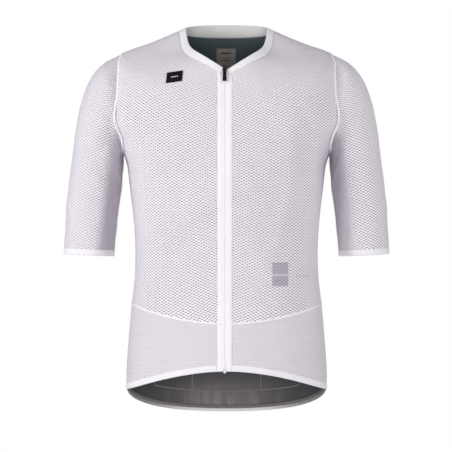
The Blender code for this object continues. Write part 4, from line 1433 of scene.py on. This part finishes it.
def sliderPlate(bm, front, rear, rounding):
    verts = block(bm, (-slider["half"], front, slider["foot"]), (slider["half"], rear, slider["head"]))
    for vert in verts:
        if vert.co.z < 0:
            vert.co.x *= 0.74         # narrower where the closed coil leaves it
    upright = [edge for edge in bm.edges if edge.verts[0] in verts
               and abs(edge.verts[0].co.y - edge.verts[1].co.y) > (rear - front) / 2]
    roundEdges(bm, upright, rounding, 5)


def roundRims(bm, radius):
    rims = [edge for edge in bm.edges if edge.is_manifold and edge.calc_face_angle() > 0.9]
    roundEdges(bm, rims, radius, clamp=True)


body = bmesh.new()
sliderPlate(body, faceFront, -slider["gap"], 0.0018)
behind = 0.0020
sliderPlate(body, behind, behind + slider["backPlate"], 0.0016)
block(body, (-0.0016, -slider["gap"] - 0.0003, slider["head"] - 0.0022),
      (0.0016, behind + 0.0002, slider["head"] - 0.0006))
roundRims(body, 0.00028)
turns = np.linspace(0, math.pi, 15)
archPath = np.stack([np.zeros(15), faceFront - 0.0026 * np.sin(turns) ** 0.8, 0.0028 * np.cos(turns)], axis=1)
archOut = unit(np.stack([np.zeros(15), -np.sin(turns) - 0.05, np.cos(turns)], axis=1))
arch = sweep(archPath, archOut, ellipse(0.0017, 0.0008, 0.0, 12, 3.5))
body.from_mesh(meshFrom("arch", arch))
bmesh.ops.transform(body, matrix=sliderPlace, verts=body.verts)
makePiece("zipSlider", body, [looks["black"]], "black_metal", ["zip_slider"], sharp=40)

pull = bmesh.new()
bmesh.ops.create_grid(pull, x_segments=3, y_segments=3, size=0.5)
columns = [-slider["pullHalf"], -slider["slotHalf"], slider["slotHalf"], slider["pullHalf"]]
rows = [-slider["pullLength"], -slider["slotFoot"], -slider["pullBar"], slider["pullBar"]]
slotFace = min(pull.faces, key=lambda face: face.calc_center_median().length)
for vert in pull.verts:
    i, j = round((vert.co.x + 0.5) * 3), round((vert.co.y + 0.5) * 3)
    taper = 1 - slider["pullTaper"] * (1 + rows[j] / slider["pullLength"])
    vert.co = (columns[i] * taper, slider["pullBar"], rows[j])
bmesh.ops.delete(pull, geom=[slotFace], context="FACES_ONLY")
made = bmesh.ops.extrude_face_region(pull, geom=pull.faces[:])
newVerts = [item for item in made["geom"] if isinstance(item, bmesh.types.BMVert)]
bmesh.ops.translate(pull, verts=newVerts, vec=(0, -2 * slider["pullBar"], 0))
bmesh.ops.recalc_face_normals(pull, faces=pull.faces)
cornerEdges = [edge for edge in pull.edges if abs(edge.verts[0].co.y - edge.verts[1].co.y) > slider["pullBar"]
            and all(abs(v.co.x) > slider["slotHalf"] + 0.0002 for v in edge.verts)
            and (edge.verts[0].co.z < -0.018 or edge.verts[0].co.z > 0)]
roundEdges(pull, cornerEdges, 0.0016, 5)
roundRims(pull, 0.00025)
for z in (-0.0085, -0.0108, -0.0131):
    ridge = bmesh.ops.create_uvsphere(pull, u_segments=10, v_segments=6, radius=1.0)["verts"]
    bmesh.ops.scale(pull, verts=ridge, vec=(0.0024, 0.00035, 0.0006))
    bmesh.ops.translate(pull, verts=ridge, vec=(0, -slider["pullBar"], z))
bmesh.ops.transform(pull, matrix=pullPlace, verts=pull.verts)
makePiece("zipPull", pull, [looks["black"]], "black_metal", ["zip_pull"], sharp=40, body="pull")
print("slider and pull made")

# Patch and label

laidPieces = {
    "patch": {"x": -0.0884, "z": -0.0880, "halfWidth": 0.0137, "halfHeight": 0.0093, "rise": 0.13,
              "lean": 0.08},
    "patchDash": {"halfWidth": 0.0010, "halfHeight": 0.0009, "rise": 0.13, "lean": 0.08},
    "label": {"x": -0.0010, "z": -0.0440, "halfWidth": 0.0175, "halfHeight": 0.0220, "rise": 0, "lean": 0},
}


def formTree(surface, columns, rows):
    bm, _ = wrappedGrid(surface, columns, rows)
    bmesh.ops.triangulate(bm, faces=bm.faces)
    tree = BVHTree.FromBMesh(bm)
    bm.free()
    return tree


def layOn(tree, startY, towards, lift, x, z, halfWidth, halfHeight, rise, lean, columns=14, rows=10):
    bm = gridMesh(columns, rows)
    flat = []
    for vert in bm.verts:
        u, v = (2 * vert.co.x - 1) * halfWidth, (2 * vert.co.y - 1) * halfHeight
        flat.append((u, v))
        start = Vector((x + u + v * lean, startY, z + v + u * rise))
        spot, normal, _, _ = tree.ray_cast(start, Vector((0, 1, 0)))
        if normal.y * towards < 0:
            normal = -normal
        vert.co = spot + normal * lift
    setUv(bm, flat)
    if towards > 0:
        bmesh.ops.reverse_faces(bm, faces=bm.faces)
    return bm


frontTree = formTree(rightFront, 60, 180)
backTree = formTree(wholeBack, 120, 220)
patch = solidify(makePiece("chestPatch", layOn(frontTree, -1.0, -1, 0.0004, **laidPieces["patch"]),
                           [looks["film"]], "patch", ["chest_patch"]), 0.0009, 1.0)
edgeRound = patch.modifiers.new("edge", "BEVEL")
edgeRound.width, edgeRound.segments, edgeRound.limit_method = 0.0003, 2, "ANGLE"
for index, offset in enumerate((-0.0048, -0.0016, 0.0016, 0.0048)):
    bm = layOn(frontTree, -1.0, -1, 0.0013, laidPieces["patch"]["x"] + offset,
               laidPieces["patch"]["z"] + offset * laidPieces["patch"]["rise"], columns=2, rows=2,
               **laidPieces["patchDash"])
    solidify(makePiece(f"chestPatchDash{index + 1}", bm, [looks["mark"]], "patch"), 0.00012, 1.0)
label = solidify(makePiece("neckLabel", layOn(backTree, 0.0, -1, 0.0015, **laidPieces["label"]),
                           [looks["label"]], "label", ["neck_label"]), 0.0006, 1.0)
barPlans = [
    # height, half width, half height
    (-0.0300, 0.0090, 0.0012), (-0.0385, 0.0060, 0.0006), (-0.0425, 0.0075, 0.0006), (-0.0520, 0.0050, 0.0006)]
for index, (z, halfWidth, halfHeight) in enumerate(barPlans):
    bm = layOn(backTree, 0.0, -1, 0.0021, -0.0010, z, halfWidth, halfHeight, 0, 0, 6, 2)
    bar = makePiece(f"labelBar{index + 1}", bm, [looks["labelMark"]], "label")
    solidify(bar, 0.0001, 1.0)
print("patch and label made")

# Pockets, and what shows inside the back

pockets = {
    "outer": 0.247,         # where the outer pocket seams lie, as a share of the way across the back
    "divider": 0.4015,
    "lift": 0.0013,
    "thickness": 0.0009,
    "gape": 0.0035,         # how far a pocket's mouth stands open
}


def pocketSurface(first, last):
    def surface(across, up):
        share = first + (last - first) * across
        height = pocketFoot + (waistSeam - pocketFoot) * up
        points = backAtHeight(share, height)
        out = unit(backAtHeight(share, height) - backAtHeight(share, height) * [0.55, 0.2, 1.0])
        across, up = np.clip(across, 0, 1), np.clip(up, 0, 1)
        gape = pockets["gape"] * up**4 * np.sin(math.pi * across) ** 0.8
        inwards = np.clip(np.minimum(np.minimum(across, 1 - across) * 8, up * 10), 0, 1)
        return points + out * (pockets["lift"] * (0.15 + 0.85 * inwards) + gape)[:, None]
    return surface


pocketSpans = {
    "Left": (pockets["outer"], pockets["divider"]),
    "Centre": (pockets["divider"], 1 - pockets["divider"]),
    "Right": (1 - pockets["divider"], 1 - pockets["outer"]),
}
for side, (first, last) in pocketSpans.items():
    surface = pocketSurface(first, last)
    bm, share = wrappedGrid(surface, 36, 40)
    setUv(bm, share[:, :2] * (0.16, 0.11))
    piece = makePiece(f"pocket{side}Cloth", bm, [looks["back"]], "back_knit", [f"pocket_{side.lower()}"])
    solidify(piece, pockets["thickness"], 1.0)

    def mouth(across, up, surface=surface):
        return surface(across, 0.90 + 0.105 * up)
    fold = makeBand(f"pocket{side}Mouth", mouth, "back_knit", [], proud=0.0014, deep=-0.0002, look="back",
                    steps=48)
    declareBand(piece, surface)
    for across in (0.0, 1.0):
        addStitches(*lineOn(surface, constant(across), part(0, 1), sewing["stitch"] / 3), 0.0010)
    addStitches(*lineOn(surface, part(0, 1), constant(0.885), sewing["stitch"] / 3), 0.0010)


def backRegion(first, last, low, high):
    def surface(across, up):
        return backAtHeight(first + (last - first) * across, low + (high - low) * up)
    return surface


footSurface = backRegion(pockets["outer"], 1 - pockets["outer"], pocketFoot - 0.001, pocketFoot + 0.001)
points, out = lineOn(footSurface, part(0, 1), constant(0.5), sewing["zigzag"])
sewnStrip("pocketFootSeam", points, out, width=0.0030, height=0.0030)
addZigzag(whiteThreads, points, out, 0.0022, 0.0017)
inner = panels["thickness"]
# seams on the inside, toned dark as painted shade
sewnStrip("insideFootSeam", points - out * inner, -out, width=0.0026, height=0.0014, slot="back_knit",
          look="insideSeam")
seamPlaces = (pockets["outer"], pockets["divider"], 1 - pockets["divider"], 1 - pockets["outer"])
for index, across in enumerate(seamPlaces):
    surface = backRegion(across - 0.001, across + 0.001, pocketFoot, waistSeam)
    points, out = lineOn(surface, constant(0.5), part(0, 1), sewing["zigzag"])
    sewnStrip(f"insidePocketSeam{index + 1}", points - out * inner, -out, width=0.0022, height=0.0012,
              slot="back_knit", look="insideSeam")
    addZigzag(insideShadeThreads, points - out * inner, -out, 0.0013, 0.0006)

points, out = lineOn(tailHem, part(0.01, 0.99), constant(0.77), 0.003)
gripper = sewnStrip("hemGripper", points - out * (bands["deep"] + 0.0001), -out, width=0.0058, height=0.0007,
                    look="gripper")
declareBand(hemBack, tailHem)
print("pockets and inside seams made")


def makeThreads(name, threads, look):
    curve = bpy.data.curves.new(name, "CURVE")
    curve.dimensions = "3D"
    curve.bevel_depth = sewing["thread"]
    curve.bevel_resolution = 0
    curve.use_fill_caps = True
    for points, closed in threads:
        spline = curve.splines.new("POLY")
        spline.points.add(len(points) - 1)
        spline.points.foreach_set("co", np.hstack([points, np.ones((len(points), 1))]).ravel())
        spline.use_cyclic_u = closed
    curve.materials.append(looks[look])
    piece = addObject(name, curve)
    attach(piece, "garment")


makeThreads("whiteStitching", whiteThreads, "thread")
makeThreads("insideStitching", insideShadeThreads, "shadedThread")
print("stitching made")

# Floor, light and camera

setting = {
    "floorHeight": -2.4,
    "skyLight": 0.30,
    "cameraPlace": (-0.001, -3.0, -0.341),
    "lens": 136.5,
}
floorMesh = bmesh.new()
bmesh.ops.create_circle(floorMesh, cap_ends=True, segments=96, radius=5.0)
bmesh.ops.translate(floorMesh, verts=floorMesh.verts, vec=(0, 0, setting["floorHeight"]))
floor = addObject("floor", meshFrom("floor", floorMesh))
floor.data.materials.append(newMaterial("paleFloor", (0.86, 0.86, 0.87), 0.9)[0])

world = bpy.data.worlds.new("studio")
bpy.context.scene.world = world
world.use_nodes = True
sky = world.node_tree
background = sky.nodes["Background"]
background.inputs["Color"].default_value = (1, 1, 1, 1)
lit = node(sky, "ShaderNodeBackground")
lit.inputs["Color"].default_value = (0.97, 0.97, 1.0, 1)
lit.inputs["Strength"].default_value = setting["skyLight"]
seen = node(sky, "ShaderNodeLightPath")
mixShader = node(sky, "ShaderNodeMixShader")
sky.links.new(seen.outputs["Is Camera Ray"], mixShader.inputs[0])
sky.links.new(lit.outputs[0], mixShader.inputs[1])
sky.links.new(background.outputs[0], mixShader.inputs[2])
sky.links.new(mixShader.outputs[0], sky.nodes["World Output"].inputs["Surface"])


def addLight(name, place, target, size, power):
    lamp = bpy.data.lights.new(name, "AREA")
    lamp.energy, lamp.shape, lamp.size = power, "SQUARE", size
    holder = addObject(name, lamp)
    holder.location = place
    holder.rotation_euler = (Vector(target) - Vector(place)).to_track_quat("-Z", "Y").to_euler()


addLight("frontLight", (-0.10, -3.1, -0.60), (0, 0, -0.35), 1.2, 35)
addLight("leftLight", (-2.43, -1.29, 0.45), (0, 0, -0.33), 0.9, 42)
addLight("rightLight", (2.43, -1.29, 0.40), (0, 0, -0.33), 0.9, 22)
addLight("backLight", (0.8, 2.6, 0.5), (0, 0, -0.30), 1.6, 42)

camera = addObject("camera", bpy.data.cameras.new("camera"))
camera.location = setting["cameraPlace"]
camera.rotation_euler = (math.pi / 2, 0, 0)
camera.data.lens, camera.data.sensor_width = setting["lens"], 36
bpy.context.scene.camera = camera
bpy.context.scene.view_settings.view_transform = "Standard"
print("floor, light and camera made")
